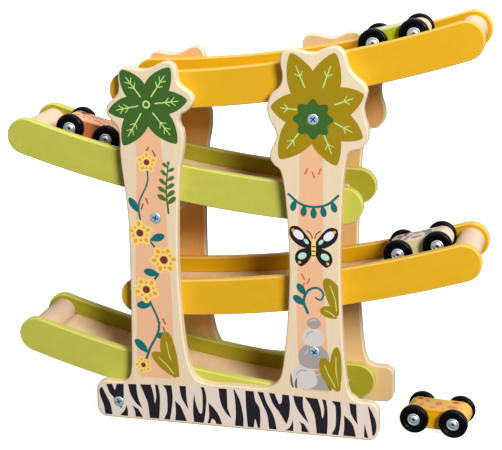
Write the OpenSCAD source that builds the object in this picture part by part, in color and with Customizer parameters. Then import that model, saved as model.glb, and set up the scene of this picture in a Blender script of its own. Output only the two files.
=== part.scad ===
// Wooden click-clack track: two tree-shaped side panels carry four
// sloping tracks, and four small cars run down them from end to end.
// Frame: +X to the right along the panels, +Y away from the viewer,
// +Z up, origin on the floor under the middle of the toy. Millimetres.

/* [Side panels] */
// Thickness of each side panel
panel_t = 8; // [7.5:0.5:10]
// Clear distance between the two side panels
panel_gap = 66; // [62:1:72]
// Length of the foot of a side panel
foot_len = 220; // [216:1:226]
// Height of the foot at its two ends
foot_h = 30; // [29:0.5:31]
// Corner radius of the foot
foot_r = 8; // [6:0.5:10]

/* [Tracks] */
// Radius of the curve that every track follows, at mid height of its rails
track_radius = 828; // [800:1:860]
// Slope of a track at its high end, in degrees
high_slope = 18.2; // [17.5:0.1:19]
// Length of a track along its curve, between the centres of its round ends
track_len = 248; // [240:1:252]
// Height of the rails
rail_h = 27.5; // [26:0.5:29]
// Thickness of the rails
rail_t = 7; // [6.5:0.5:8]
// Height of the lowest track's high end
track_z0 = 60; // [59:0.5:61]
// Height from one track's high end to the next one's
track_pitch = 79; // [78.5:0.5:79.5]
// Thickness of the track floors
floor_t = 4; // [3.5:0.5:4.5]
// Height of the floor's top above the middle of the rails
floor_up = 1.4; // [1:0.1:2]
// Distance along the curve at which the floor stops
floor_end = 241.6; // [238:0.2:242]
// How far the floor reaches into the groove of each rail
groove_d = 3; // [2:0.5:4]
// Diameter of the stop dowel at the high end
stop_d = 20; // [18:0.5:21]

/* [Spacers and screws] */
// Diameter of the cross dowels that hold the panels apart
spacer_d = 16; // [12:1:18]
// Diameter of the screw heads
screw_head_d = 8; // [7:0.5:9]
// Diameter of the screw shanks
screw_d = 3.5; // [3:0.5:4]
// Length of a screw under its head
screw_len = 28; // [22:1:30]
// Diameter of the locating pegs between rails and panels
peg_d = 6; // [5:0.5:6]

/* [Cars] */
// Diameter of the wheels
wheel_d = 21.8; // [21:0.1:22.2]
// Width of a wheel
wheel_w = 5.5; // [5:0.5:6]
// Distance between the two axles of a car
wheelbase = 29.7; // [29:0.1:30.7]
// Length of a car's body
body_len = 48.5; // [46:0.5:50]
// Height of a car's body
body_h = 16; // [14:0.5:16.5]
// Width of a car's body
body_w = 21.6; // [20:0.1:21.8]
// Diameter of the axles
axle_d = 3; // [2.5:0.1:3.5]
// Diameter of the domed axle caps
cap_d = 9.6; // [9:0.1:11]
// Place of the green car along the top track
green_s = 50.6; // [34:0.1:200]
// Place of the orange car along the upper track
orange_s = 42.5; // [34:0.1:200]
// Place of the cream car along the lower track
cream_s = 32.6; // [32.6:0.1:200]
// Heading of the yellow car on the floor, in degrees
yellow_yaw = -6; // [-10:1:10]

/* [Hidden] */
$fn = 64;

depth = panel_gap + 2*panel_t;         // over both panels
foot_x = -3;                           // the foot's middle, seen from the middle of the tracks
// High end of each track: top, upper, lower, bottom. The first and third are high on the right.
track_x = [162, -164.5, 164.5, -164.5];
track_z = [for (i = [0:3]) track_z0 + track_pitch*(3 - i)];
track_side = [1, -1, 1, -1];
rail_y = panel_gap/2;                  // outer face of a rail
chan_y = rail_y - rail_t;              // inner face of a rail
wheel_clear = 0.15;                    // room between a wheel and the floor it runs over
axle_up = floor_up + wheel_d/2 + wheel_clear;
wheel_y = 14;                          // middle of a wheel, from the middle of its car
bore_room = 0.05;

// Screws and cross dowels: crown, trunk, knee, foot (x from the foot's middle, z)
spacer_at = [[61.3, 241], [-57.5, 162.5], [61.7, 66.7], [-92.4, 13.6]];

// Outline of a side panel above its foot, from the left end of the foot's top
// over the left tree, along the foot and over the right tree to the right end.
tree_pts = [
  // left trunk, left side
  [-102, 30], [-95, 29.8], [-88, 30.6], [-83.5, 34], [-81.5, 41], [-80.4, 65], [-79.5, 95],
  [-79, 128], [-79, 156], [-80, 176], [-82, 194], [-83.2, 209], [-83.2, 222],
  // left crown
  [-84.5, 230], [-89, 234.8], [-92, 239], [-92.5, 243.5], [-90.5, 247.5], [-86.5, 251], [-83.5, 254.5],
  [-82.3, 259.5], [-82.6, 265], [-82.4, 269.5], [-80.4, 272.8], [-76.5, 274], [-71, 273.4], [-64.5, 272.6],
  [-58.5, 273.7], [-53, 276.3], [-48.5, 278.4], [-44.5, 278.8], [-41, 277], [-39, 273], [-38.2, 268],
  [-37, 263], [-33, 259.5], [-28.8, 256.6], [-26.6, 252.5], [-27.5, 248], [-31.5, 243.4], [-35.8, 240.8],
  [-37.6, 236.5], [-36.8, 232.5], [-35, 229.5], [-34.4, 225],
  // left trunk, right side
  [-35, 215], [-37.5, 202], [-39.5, 184], [-40.8, 160], [-41.5, 125], [-40.8, 98], [-39.2, 75],
  [-37, 57], [-34, 45], [-29, 37], [-21, 34.2],
  // foot between the trunks
  [0, 34.4], [20, 34.2],
  // right trunk, left side
  [28, 36], [33.5, 40.5], [36.4, 47], [39.2, 66], [41.5, 90], [43, 120], [43, 140], [42.2, 160],
  [40.8, 181], [39, 195],
  // right crown
  [36.6, 203.4], [32.3, 207], [29.7, 211.5], [30.2, 217], [33, 223], [34.6, 228.5], [33, 233.5], [30, 239],
  [28.1, 245], [28.5, 252], [31.5, 258.5], [36, 262.5], [38.5, 267], [38.9, 272.5], [37.8, 278.5],
  [37.8, 284], [39.5, 288.4], [44.5, 290], [51, 289.4], [57.5, 288], [63, 288.2], [68.5, 290.5],
  [74, 292.4], [79, 292], [83, 288.5], [84.8, 283], [87, 276.8], [92, 271], [97, 267], [99.5, 262],
  [98.8, 257], [97.2, 251], [97.8, 244], [100, 237], [100.7, 230], [99, 224.5], [95, 220.5], [89.5, 219.3],
  [86, 216.5],
  // right trunk, right side
  [84.5, 210], [83, 198], [81.8, 181], [81, 155], [80.6, 128], [81.3, 106], [83, 75], [85.2, 50],
  [87, 38.5], [90, 32.6], [95, 30.2], [102, 30]];

// Smooth curve through points: each point's tangent weighs its two neighbours
// by the square root of their distances, so close points don't overshoot.
function gap(a, b) = sqrt(norm(b - a));
function tang(p, i) = i == 0 ? [1, 0] : i == len(p) - 1 ? [1, 0] :
  let (d0 = gap(p[i-1], p[i]), d1 = gap(p[i], p[i+1]))
    (p[i] - p[i-1])/d0 - (p[i+1] - p[i-1])/(d0 + d1) + (p[i+1] - p[i])/d1;
function herm(a, b, ta, tb, u) =
  (2*u*u*u - 3*u*u + 1)*a + (u*u*u - 2*u*u + u)*ta + (3*u*u - 2*u*u*u)*b + (u*u*u - u*u)*tb;
function smooth(p, n) = [for (i = [0:len(p)-2]) let (d = gap(p[i], p[i+1])) for (k = [0:n-1])
  herm(p[i], p[i+1], tang(p, i)*d, tang(p, i+1)*d, k/n)];
function arc(cx, cy, r, a0, a1, n) = [for (k = [0:n]) let (a = a0 + (a1 - a0)*k/n) [cx + r*cos(a), cy + r*sin(a)]];

// Places along a track: angle from straight below the curve's centre, at distance s from the high end
function ang(s) = -high_slope + s/track_radius*180/PI;
function centre_x(i) = track_x[i] - track_side[i]*track_radius*sin(high_slope);
function centre_z(i) = track_z[i] + track_radius*cos(high_slope);
// Distance along track i at which it passes x
function s_at(i, x) = (asin(-track_side[i]*(x - centre_x(i))/track_radius) + high_slope)*PI/180*track_radius;
// Height of the middle of track i at x
function mid_z(i, x) = centre_z(i) - track_radius*cos(ang(s_at(i, x)));

module slab(y0, y1) { translate([0, y1, 0]) rotate([90, 0, 0]) linear_extrude(y1 - y0) children(); }
module bar_y(x, z, d, y0, y1) { translate([x, y1, z]) rotate([90, 0, 0]) cylinder(d = d, h = y1 - y0); }

// ---- side panels ----
module panel_outline() {
  fx = foot_len/2 - foot_r;
  polygon(concat(
    arc(-fx, foot_r, foot_r, 270, 180, 6),
    arc(-fx, foot_h - foot_r, foot_r, 180, 96, 6),
    [for (q = smooth(tree_pts, 4)) q],
    arc(fx, foot_h - foot_r, foot_r, 90, 0, 6),
    arc(fx, foot_r, foot_r, 0, -90, 6)));
}
peg_x = [-60, 62];                     // trunk middles, from the foot's middle
module panel(side) {
  y0 = side < 0 ? -depth/2 : panel_gap/2;
  y1 = side < 0 ? -panel_gap/2 : depth/2;
  in0 = side < 0 ? -panel_gap/2 - 4.2 : panel_gap/2 - 1;
  in1 = side < 0 ? -panel_gap/2 + 1 : panel_gap/2 + 4.2;
  cb0 = side < 0 ? -depth/2 - 1 : depth/2 - 1.6;
  cb1 = side < 0 ? -depth/2 + 1.6 : depth/2 + 1;
  difference() {
    slab(y0, y1) translate([foot_x, 0]) panel_outline();
    for (q = spacer_at) {
      bar_y(q[0] + foot_x, q[1], screw_d + 0.4, y0 - 1, y1 + 1);
      bar_y(q[0] + foot_x, q[1], screw_head_d + 0.4, cb0, cb1);
    }
    for (i = [0:3], px = peg_x) bar_y(px + foot_x, mid_z(i, px + foot_x), peg_d + 0.2, in0, in1);
  }
}
module front_panel() { color([0.93, 0.83, 0.67]) panel(-1); }
module rear_panel() { color([0.93, 0.83, 0.67]) panel(1); }

// ---- tracks ----
module band(r0, r1, a0, a1) {
  far = track_radius*1.2;
  intersection() {
    difference() { circle(r = r1, $fn = 720); circle(r = r0, $fn = 720); }
    polygon([[0, 0], [far*sin(a0), -far*cos(a0)], [far*sin(a1), -far*cos(a1)]]);
  }
}
module dot(s, up, r) { a = ang(s); translate([(track_radius - up)*sin(a), -(track_radius - up)*cos(a)]) circle(r = r); }
module place(i) { translate([centre_x(i), 0, centre_z(i)]) mirror([track_side[i] > 0 ? 1 : 0, 0, 0]) children(); }
module rail_shape() {
  union() {
    band(track_radius - rail_h/2, track_radius + rail_h/2, ang(0), ang(track_len));
    dot(0, 0, rail_h/2);
    dot(track_len, 0, rail_h/2);
  }
}
module floor_shape(s0, s1, lo, hi) {
  union() {
    band(track_radius - hi, track_radius - lo, ang(s0), ang(s1 - (hi - lo)/2));
    dot(s1 - (hi - lo)/2, (hi + lo)/2, (hi - lo)/2);
  }
}
module rail(i, side) {
  y0 = side < 0 ? -rail_y : chan_y;
  y1 = side < 0 ? -chan_y : rail_y;
  g0 = side < 0 ? -chan_y - groove_d : chan_y - 1;
  g1 = side < 0 ? -chan_y + 1 : chan_y + groove_d;
  p0 = side < 0 ? -rail_y - 1 : rail_y - 4.2;
  p1 = side < 0 ? -rail_y + 4.2 : rail_y + 1;
  b0 = side < 0 ? -chan_y - 4.2 : chan_y - 1;
  b1 = side < 0 ? -chan_y + 1 : chan_y + 4.2;
  difference() {
    place(i) slab(y0, y1) rail_shape();
    // groove for the floor, a little wider than the floor is thick
    place(i) slab(g0, g1) floor_shape(8, floor_end + 0.4, floor_up - floor_t, floor_up + 0.4);
    // socket for the stop dowel's spigot
    bar_y(track_x[i], track_z[i], 10.2, b0, b1);
    // sockets for the locating pegs
    for (px = peg_x) bar_y(px + foot_x, mid_z(i, px + foot_x), peg_d + 0.2, p0, p1);
  }
}
module track_floor(i) {
  place(i) slab(-chan_y - groove_d + 0.2, chan_y + groove_d - 0.2)
    floor_shape(stop_d/2 + 0.3, floor_end, floor_up - floor_t, floor_up);
}
module stop_dowel(i) {
  union() {
    bar_y(track_x[i], track_z[i], stop_d, -chan_y, chan_y);
    bar_y(track_x[i], track_z[i], 10, -chan_y - 4, chan_y + 4);
  }
}
module pegs(i) {
  for (px = peg_x, sy = [-1, 1])
    bar_y(px + foot_x, mid_z(i, px + foot_x), peg_d, sy < 0 ? -rail_y - 4 : rail_y - 4, sy < 0 ? -rail_y + 4 : rail_y + 4);
}
honey = [0.89, 0.67, 0.13];
lime = [0.74, 0.75, 0.29];
birch = [0.93, 0.82, 0.66];
module top_track_front_rail() { color(honey) rail(0, -1); }
module top_track_rear_rail() { color(honey) rail(0, 1); }
module top_track_floor() { color(birch) track_floor(0); }
module top_track_stop_dowel() { color(birch) stop_dowel(0); }
module top_track_pegs() { color(birch) pegs(0); }
module upper_track_front_rail() { color(lime) rail(1, -1); }
module upper_track_rear_rail() { color(lime) rail(1, 1); }
module upper_track_floor() { color(birch) track_floor(1); }
module upper_track_stop_dowel() { color(birch) stop_dowel(1); }
module upper_track_pegs() { color(birch) pegs(1); }
module lower_track_front_rail() { color(honey) rail(2, -1); }
module lower_track_rear_rail() { color(honey) rail(2, 1); }
module lower_track_floor() { color(birch) track_floor(2); }
module lower_track_stop_dowel() { color(birch) stop_dowel(2); }
module lower_track_pegs() { color(birch) pegs(2); }
module bottom_track_front_rail() { color(lime) rail(3, -1); }
module bottom_track_rear_rail() { color(lime) rail(3, 1); }
module bottom_track_floor() { color(birch) track_floor(3); }
module bottom_track_stop_dowel() { color(birch) stop_dowel(3); }
module bottom_track_pegs() { color(birch) pegs(3); }

// ---- cross dowels and screws ----
module spacer(k) {
  q = spacer_at[k];
  difference() {
    bar_y(q[0] + foot_x, q[1], spacer_d, -panel_gap/2, panel_gap/2);
    for (sy = [-1, 1]) bar_y(q[0] + foot_x, q[1], screw_d + 2*bore_room,
      sy < 0 ? -panel_gap/2 - 1 : panel_gap/2 - screw_len + panel_t - 3, sy < 0 ? -panel_gap/2 + screw_len - panel_t + 3 : panel_gap/2 + 1);
  }
}
module crown_spacer() { color(birch) spacer(0); }
module trunk_spacer() { color(birch) spacer(1); }
module knee_spacer() { color(birch) spacer(2); }
module foot_spacer() { color(birch) spacer(3); }

// A low domed head in a counterbore, with a cross recess, on a round shank
module screw() {
  difference() {
    rotate_extrude() polygon(concat([[0, -1.6], [screw_head_d/2, -1.6], [screw_head_d/2, -0.3]],
      [for (k = [1:5]) let (a = 90*k/5) [screw_head_d/2*cos(a), -0.3 + 0.8*sin(a)]]));
    for (a = [45, 135]) rotate([0, 0, a]) translate([-2.3, -0.5, -0.9]) cube([4.6, 1, 3]);
  }
  translate([0, 0, -1.6 - screw_len + 4]) cylinder(d = screw_d, h = screw_len - 4 + 0.4);
}
module front_screws() { color([0.72, 0.76, 0.8])
  for (q = spacer_at) translate([q[0] + foot_x, -depth/2, q[1]]) rotate([90, 0, 0]) screw(); }
module rear_screws() { color([0.72, 0.76, 0.8])
  for (q = spacer_at) translate([q[0] + foot_x, depth/2, q[1]]) rotate([-90, 0, 0]) screw(); }

// ---- cars ----
// A car's own frame: middle of its two axles, front along +X, the viewer's side at -Y
module car_block() {
  r = body_h/2;
  difference() {
    slab(-body_w/2, body_w/2) union() {
      square([body_len - body_h, body_h], center = true);
      for (sx = [-1, 1]) translate([sx*(body_len/2 - r), 0]) circle(r = r);
    }
    for (sx = [-1, 1]) bar_y(sx*wheelbase/2, 0, axle_d + 2*bore_room, -body_w, body_w);
  }
}
module car_axles() { for (sx = [-1, 1]) bar_y(sx*wheelbase/2, 0, axle_d, -wheel_y - 2.5, wheel_y + 2.5); }
module cap() {
  rotate_extrude() polygon([[axle_d/2 + bore_room, 1.8], [cap_d/2, 1.8], [cap_d/2, 2.3], [cap_d/2 - 0.7, 2.8],
    [cap_d/4, 3.15], [0, 3.2], [0, 2.6], [axle_d/2 + bore_room, 2.6]]);
}
module car_caps() { for (sx = [-1, 1], sy = [-1, 1])
  translate([sx*wheelbase/2, sy*wheel_y, 0]) rotate([-90*sy, 0, 0]) cap(); }
module wheel(sx, sy) {
  r = wheel_d/2; w = wheel_w/2;
  translate([sx*wheelbase/2, sy*wheel_y, 0]) rotate([-90*sy, 0, 0]) rotate_extrude()
    polygon([[axle_d/2 + bore_room, -w], [r - 1, -w], [r - 0.3, -w + 0.3], [r, -w + 1], [r, w - 1.2], [r - 0.35, w - 0.35],
      [r - 1.2, w], [7.6, w], [7.2, 1.5], [axle_d/2 + bore_room, 1.5]]);
}
// The middle of a car's axles lies a little below the arc that the axles run along
function car_r() = sqrt(pow(track_radius - axle_up, 2) - pow(wheelbase/2, 2));
module on_track(i, s) { place(i) rotate([0, -ang(s), 0]) translate([0, 0, -car_r()]) children(); }
module on_floor() { translate([146.4, -6, wheel_d/2]) rotate([0, 0, yellow_yaw]) children(); }

olive = [0.68, 0.7, 0.16];
orange = [0.87, 0.5, 0.24];
cream = [0.86, 0.79, 0.6];
amber = [0.87, 0.65, 0.13];
black = [0.06, 0.06, 0.07];
zinc = [0.75, 0.77, 0.79];
module green_car_body() { color(olive) on_track(0, green_s) car_block(); }
module green_car_axles() { color(zinc) on_track(0, green_s) car_axles(); }
module green_car_axle_caps() { color(zinc) on_track(0, green_s) car_caps(); }
module green_car_wheel_front_near() { color(black) on_track(0, green_s) wheel(1, -1); }
module green_car_wheel_front_far() { color(black) on_track(0, green_s) wheel(1, 1); }
module green_car_wheel_rear_near() { color(black) on_track(0, green_s) wheel(-1, -1); }
module green_car_wheel_rear_far() { color(black) on_track(0, green_s) wheel(-1, 1); }
module orange_car_body() { color(orange) on_track(1, orange_s) car_block(); }
module orange_car_axles() { color(zinc) on_track(1, orange_s) car_axles(); }
module orange_car_axle_caps() { color(zinc) on_track(1, orange_s) car_caps(); }
module orange_car_wheel_front_near() { color(black) on_track(1, orange_s) wheel(1, -1); }
module orange_car_wheel_front_far() { color(black) on_track(1, orange_s) wheel(1, 1); }
module orange_car_wheel_rear_near() { color(black) on_track(1, orange_s) wheel(-1, -1); }
module orange_car_wheel_rear_far() { color(black) on_track(1, orange_s) wheel(-1, 1); }
module cream_car_body() { color(cream) on_track(2, cream_s) car_block(); }
module cream_car_axles() { color(zinc) on_track(2, cream_s) car_axles(); }
module cream_car_axle_caps() { color(zinc) on_track(2, cream_s) car_caps(); }
module cream_car_wheel_front_near() { color(black) on_track(2, cream_s) wheel(1, -1); }
module cream_car_wheel_front_far() { color(black) on_track(2, cream_s) wheel(1, 1); }
module cream_car_wheel_rear_near() { color(black) on_track(2, cream_s) wheel(-1, -1); }
module cream_car_wheel_rear_far() { color(black) on_track(2, cream_s) wheel(-1, 1); }
module yellow_car_body() { color(amber) on_floor() car_block(); }
module yellow_car_axles() { color(zinc) on_floor() car_axles(); }
module yellow_car_axle_caps() { color(zinc) on_floor() car_caps(); }
module yellow_car_wheel_front_near() { color(black) on_floor() wheel(1, -1); }
module yellow_car_wheel_front_far() { color(black) on_floor() wheel(1, 1); }
module yellow_car_wheel_rear_near() { color(black) on_floor() wheel(-1, -1); }
module yellow_car_wheel_rear_far() { color(black) on_floor() wheel(-1, 1); }

front_panel();
rear_panel();
top_track_front_rail();
top_track_rear_rail();
top_track_floor();
top_track_stop_dowel();
top_track_pegs();
upper_track_front_rail();
upper_track_rear_rail();
upper_track_floor();
upper_track_stop_dowel();
upper_track_pegs();
lower_track_front_rail();
lower_track_rear_rail();
lower_track_floor();
lower_track_stop_dowel();
lower_track_pegs();
bottom_track_front_rail();
bottom_track_rear_rail();
bottom_track_floor();
bottom_track_stop_dowel();
bottom_track_pegs();
crown_spacer();
trunk_spacer();
knee_spacer();
foot_spacer();
front_screws();
rear_screws();
green_car_body();
green_car_axles();
green_car_axle_caps();
green_car_wheel_front_near();
green_car_wheel_front_far();
green_car_wheel_rear_near();
green_car_wheel_rear_far();
orange_car_body();
orange_car_axles();
orange_car_axle_caps();
orange_car_wheel_front_near();
orange_car_wheel_front_far();
orange_car_wheel_rear_near();
orange_car_wheel_rear_far();
cream_car_body();
cream_car_axles();
cream_car_axle_caps();
cream_car_wheel_front_near();
cream_car_wheel_front_far();
cream_car_wheel_rear_near();
cream_car_wheel_rear_far();
yellow_car_body();
yellow_car_axles();
yellow_car_axle_caps();
yellow_car_wheel_front_near();
yellow_car_wheel_front_far();
yellow_car_wheel_rear_near();
yellow_car_wheel_rear_far();
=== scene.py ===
import math
import random

import bpy
import numpy as np
from mathutils import Vector, Matrix
from mathutils.geometry import delaunay_2d_cdt


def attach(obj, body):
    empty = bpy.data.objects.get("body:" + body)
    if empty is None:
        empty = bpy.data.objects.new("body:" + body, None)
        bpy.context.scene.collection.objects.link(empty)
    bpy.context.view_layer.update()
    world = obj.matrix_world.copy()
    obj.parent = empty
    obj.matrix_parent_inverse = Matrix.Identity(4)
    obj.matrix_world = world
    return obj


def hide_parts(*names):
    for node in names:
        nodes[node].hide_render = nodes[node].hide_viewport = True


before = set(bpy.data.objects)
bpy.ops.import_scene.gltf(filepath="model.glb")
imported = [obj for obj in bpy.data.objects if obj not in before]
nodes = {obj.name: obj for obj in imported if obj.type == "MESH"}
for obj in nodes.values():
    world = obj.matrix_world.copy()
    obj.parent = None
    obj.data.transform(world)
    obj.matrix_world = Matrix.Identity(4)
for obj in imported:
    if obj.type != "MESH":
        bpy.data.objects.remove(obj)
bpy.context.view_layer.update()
random.seed(7)
MM = 0.001

# ------------------------------------------------------------------ sizes (mm)
FOOT_X = -3.0
PANEL_T, GAP = 8.0, 66.0
DEPTH = GAP + 2 * PANEL_T
R, PHI, TLEN, RAIL_H, RAIL_T = 828.0, 18.2, 248.0, 27.5, 7.0
TRACK_X = [162.0, -164.5, 164.5, -164.5]
TRACK_Z = [297.0, 218.0, 139.0, 60.0]
SIDE = [1, -1, 1, -1]
TRACKS = ["top", "upper", "lower", "bottom"]
FLOOR_UP, FLOOR_T, FLOOR_END, GROOVE = 1.4, 4.0, 241.6, 3.0
RAIL_Y = GAP / 2
CHAN_Y = RAIL_Y - RAIL_T
WHEEL_R, WHEEL_Y, WBASE = 10.9, 14.0, 29.7
BODY_L, BODY_H, BODY_W = 48.5, 16.0, 21.6
AXLE_UP = FLOOR_UP + WHEEL_R + 0.15
SCREWS = [(61.3, 241.0), (-57.5, 162.5), (61.7, 66.7), (-92.4, 13.6)]


# ------------------------------------------------------------------ colours
def lin(r, g, b):
    def f(c):
        c = c / 255.0
        return c / 12.92 if c <= 0.04045 else ((c + 0.055) / 1.055) ** 2.4
    return (f(r), f(g), f(b), 1.0)


WOOD = lin(232, 212, 180)
EDGE = lin(214, 191, 158)
# Painted shade and painted light for the panels' inner faces, which are the same plain plywood as the outside. The next
# five tones are darker and more orange where the tracks and the facing panel shade the wood, paler towards the foot,
# greyer towards the top, and lighter and warmer on the right-hand side where light falls.
INNER_SHADE_PAINT = lin(230, 172, 94)
INNER_FOOT_SHADE_PAINT = lin(230, 194, 136)
INNER_TOP_SHADE_PAINT = lin(203, 174, 136)
INNER_PAINTED_LIGHT = lin(212, 169, 108)
INNER_CROWN_PAINTED_LIGHT_SHADE = lin(244, 182, 106)
BAND = lin(228, 213, 203)
CHAR = lin(30, 27, 34)
PEACH = lin(236, 186, 147)
OLIVE = lin(158, 133, 16)
FOREST = lin(60, 99, 40)
FERN = lin(82, 108, 46)
LIMELINE = lin(190, 222, 128)
TEAL = lin(20, 106, 108)
RUST = lin(176, 84, 46)
ORDASH = lin(222, 104, 52)
MAROON = lin(124, 50, 44)
PALEYEL = lin(245, 214, 124)
ORANGE = lin(234, 164, 54)
STONE = lin(212, 206, 204)
STONE2 = lin(166, 157, 154)
MINT = lin(186, 224, 206)
WHITE = lin(236, 234, 242)
BLUSH = lin(240, 150, 116)


# ------------------------------------------------------------------ curves in the plane
def gap(a, b):
    return math.sqrt(math.hypot(b[0] - a[0], b[1] - a[1]))


def smooth(p, n, closed=False, end=None):
    """A smooth curve through points, with n steps from each to the next."""
    p = [np.array(q, float) for q in p]
    m = len(p)

    def tang(i):
        if not closed and i in (0, m - 1):
            if end is not None:
                return np.array(end, float)
            j = 1 if i == 0 else m - 1
            d = gap(p[j - 1], p[j])
            return (p[j] - p[j - 1]) / d
        a, b, c = p[(i - 1) % m], p[i], p[(i + 1) % m]
        d0, d1 = gap(a, b), gap(b, c)
        return (b - a) / d0 - (c - a) / (d0 + d1) + (c - b) / d1

    out = []
    for i in range(m if closed else m - 1):
        a, b = p[i], p[(i + 1) % m]
        d = gap(a, b)
        ta, tb = tang(i) * d, tang((i + 1) % m) * d
        for k in range(n):
            u = k / n
            q = (2 * u**3 - 3 * u * u + 1) * a + (u**3 - 2 * u * u + u) * ta + (3 * u * u - 2 * u**3) * b + (u**3 - u * u) * tb
            out.append((float(q[0]), float(q[1])))
    if not closed:
        out.append((float(p[-1][0]), float(p[-1][1])))
    return out


def arc(cx, cy, r, a0, a1, n):
    return [(cx + r * math.cos(math.radians(a0 + (a1 - a0) * k / n)), cy + r * math.sin(math.radians(a0 + (a1 - a0) * k / n))) for k in range(n + 1)]


def circle(cx, cy, r, n=40, ry=None, rot=0.0):
    ry = r if ry is None else ry
    c, s = math.cos(math.radians(rot)), math.sin(math.radians(rot))
    out = []
    for k in range(n):
        a = 2 * math.pi * k / n
        x, y = r * math.cos(a), ry * math.sin(a)
        out.append((cx + x * c - y * s, cy + x * s + y * c))
    return out


def petal(bx, by, tx, ty, w, base=0.5, top=0.62, n=18, bend=0.0, blunt=1.0):
    """A leaf from its base to its rounded tip; w is half its width."""
    ax = np.array([tx - bx, ty - by], float)
    ln = float(np.hypot(*ax))
    ax /= ln
    nr = np.array([-ax[1], ax[0]])
    left, right = [], []
    for k in range(n + 1):
        u = (1 - math.cos(math.pi * k / n)) / 2
        if u >= top:
            t = (u - top) / (1 - top)
            h = w * (blunt * math.sqrt(max(0.0, 1 - t * t)) + (1 - blunt) * math.cos(math.pi / 2 * t))
        else:
            h = w * (base + (1 - base) * math.sin(math.pi / 2 * u / top))
        c = np.array([bx, by]) + ax * ln * u + nr * bend * math.sin(math.pi * u)
        left.append(tuple(c + nr * h))
        right.append(tuple(c - nr * h))
    if right[-1] != left[-1] and math.hypot(right[-1][0] - left[-1][0], right[-1][1] - left[-1][1]) < 1e-6:
        right = right[:-1]
    if base < 1e-6:
        left = left[1:]
    return right + left[::-1]


def stroke(p, w0, w1=None, n=6, caps=True):
    """A brush line of full width w0 to w1 along a smooth path."""
    w1 = w0 if w1 is None else w1
    c = smooth(p, n) if len(p) > 2 else [tuple(p[0]), tuple(p[1])]
    m = len(c)
    left, right = [], []
    for i in range(m):
        a, b = np.array(c[max(0, i - 1)]), np.array(c[min(m - 1, i + 1)])
        t = (b - a) / max(1e-9, float(np.hypot(*(b - a))))
        nr = np.array([-t[1], t[0]])
        h = (w0 + (w1 - w0) * i / (m - 1)) / 2
        left.append(tuple(np.array(c[i]) + nr * h))
        right.append(tuple(np.array(c[i]) - nr * h))
        if i == 0:
            t0 = t
        t1 = t
    out = list(right)
    if caps:
        for k in range(1, 5):
            a = math.atan2(t1[1], t1[0]) - math.pi / 2 + math.pi * k / 5
            out.append((c[-1][0] + w1 / 2 * math.cos(a), c[-1][1] + w1 / 2 * math.sin(a)))
    out += left[::-1]
    if caps:
        for k in range(1, 5):
            a = math.atan2(t0[1], t0[0]) + math.pi / 2 + math.pi * k / 5
            out.append((c[0][0] + w0 / 2 * math.cos(a), c[0][1] + w0 / 2 * math.sin(a)))
    return out


def area2(p):
    return sum(p[i][0] * p[(i + 1) % len(p)][1] - p[(i + 1) % len(p)][0] * p[i][1] for i in range(len(p)))


def ccw(p):
    return list(p) if area2(p) > 0 else list(p)[::-1]


# ------------------------------------------------------------------ meshes
class Build:
    """Collects vertices with normals and faces with paint, then makes one mesh object."""

    def __init__(self):
        self.v, self.n, self.g = [], [], []
        self.f, self.paint, self.ink, self.edge, self.mi = [], [], [], [], []
        self.seen = set()

    def vert(self, co, no, grain=None):
        self.v.append(tuple(co))
        self.n.append(tuple(no))
        self.g.append(tuple(grain if grain is not None else co))
        return len(self.v) - 1

    def face(self, idx, paint=None, ink=0.0, edge=0.0, mi=0):
        if len(set(idx)) < len(idx) or frozenset(idx) in self.seen:
            return
        self.seen.add(frozenset(idx))
        self.f.append(tuple(idx))
        self.paint.append(paint)
        self.ink.append(ink)
        self.edge.append(edge)
        self.mi.append(mi)

    def object(self, name, mats, base=(0.8, 0.8, 0.8, 1)):
        me = bpy.data.meshes.new(name)
        me.from_pydata([(x * MM, y * MM, z * MM) for x, y, z in self.v], [], self.f)
        if me.validate():
            raise RuntimeError("bad faces in " + name)
        for nm, kind, dom in (("Paint", "FLOAT_COLOR", "CORNER"), ("InkAndShade", "FLOAT", "CORNER"), ("Edge", "FLOAT", "CORNER"), ("Grain", "FLOAT_VECTOR", "POINT")):
            me.attributes.new(nm, kind, dom)
        pc, ic, ec = [], [], []
        for k, fc in enumerate(self.f):
            col = self.paint[k] or base
            e = self.edge[k]
            for j in range(len(fc)):
                pc += list(col)
                ic.append(self.ink[k])
                ec.append(e[j] if isinstance(e, (tuple, list)) else e)
        me.attributes["Paint"].data.foreach_set("color", np.array(pc, np.float32))
        me.attributes["InkAndShade"].data.foreach_set("value", np.array(ic, np.float32))
        me.attributes["Edge"].data.foreach_set("value", np.array(ec, np.float32))
        me.attributes["Grain"].data.foreach_set("vector", np.array(self.g, np.float32).ravel() * MM)
        me.polygons.foreach_set("use_smooth", [True] * len(me.polygons))
        me.polygons.foreach_set("material_index", self.mi)
        for m in mats:
            me.materials.append(m)
        me.normals_split_custom_set_from_vertices([Vector(n).normalized() for n in self.n])
        me.update()
        ob = bpy.data.objects.new(name, me)
        bpy.context.scene.collection.objects.link(ob)
        return ob


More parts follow.
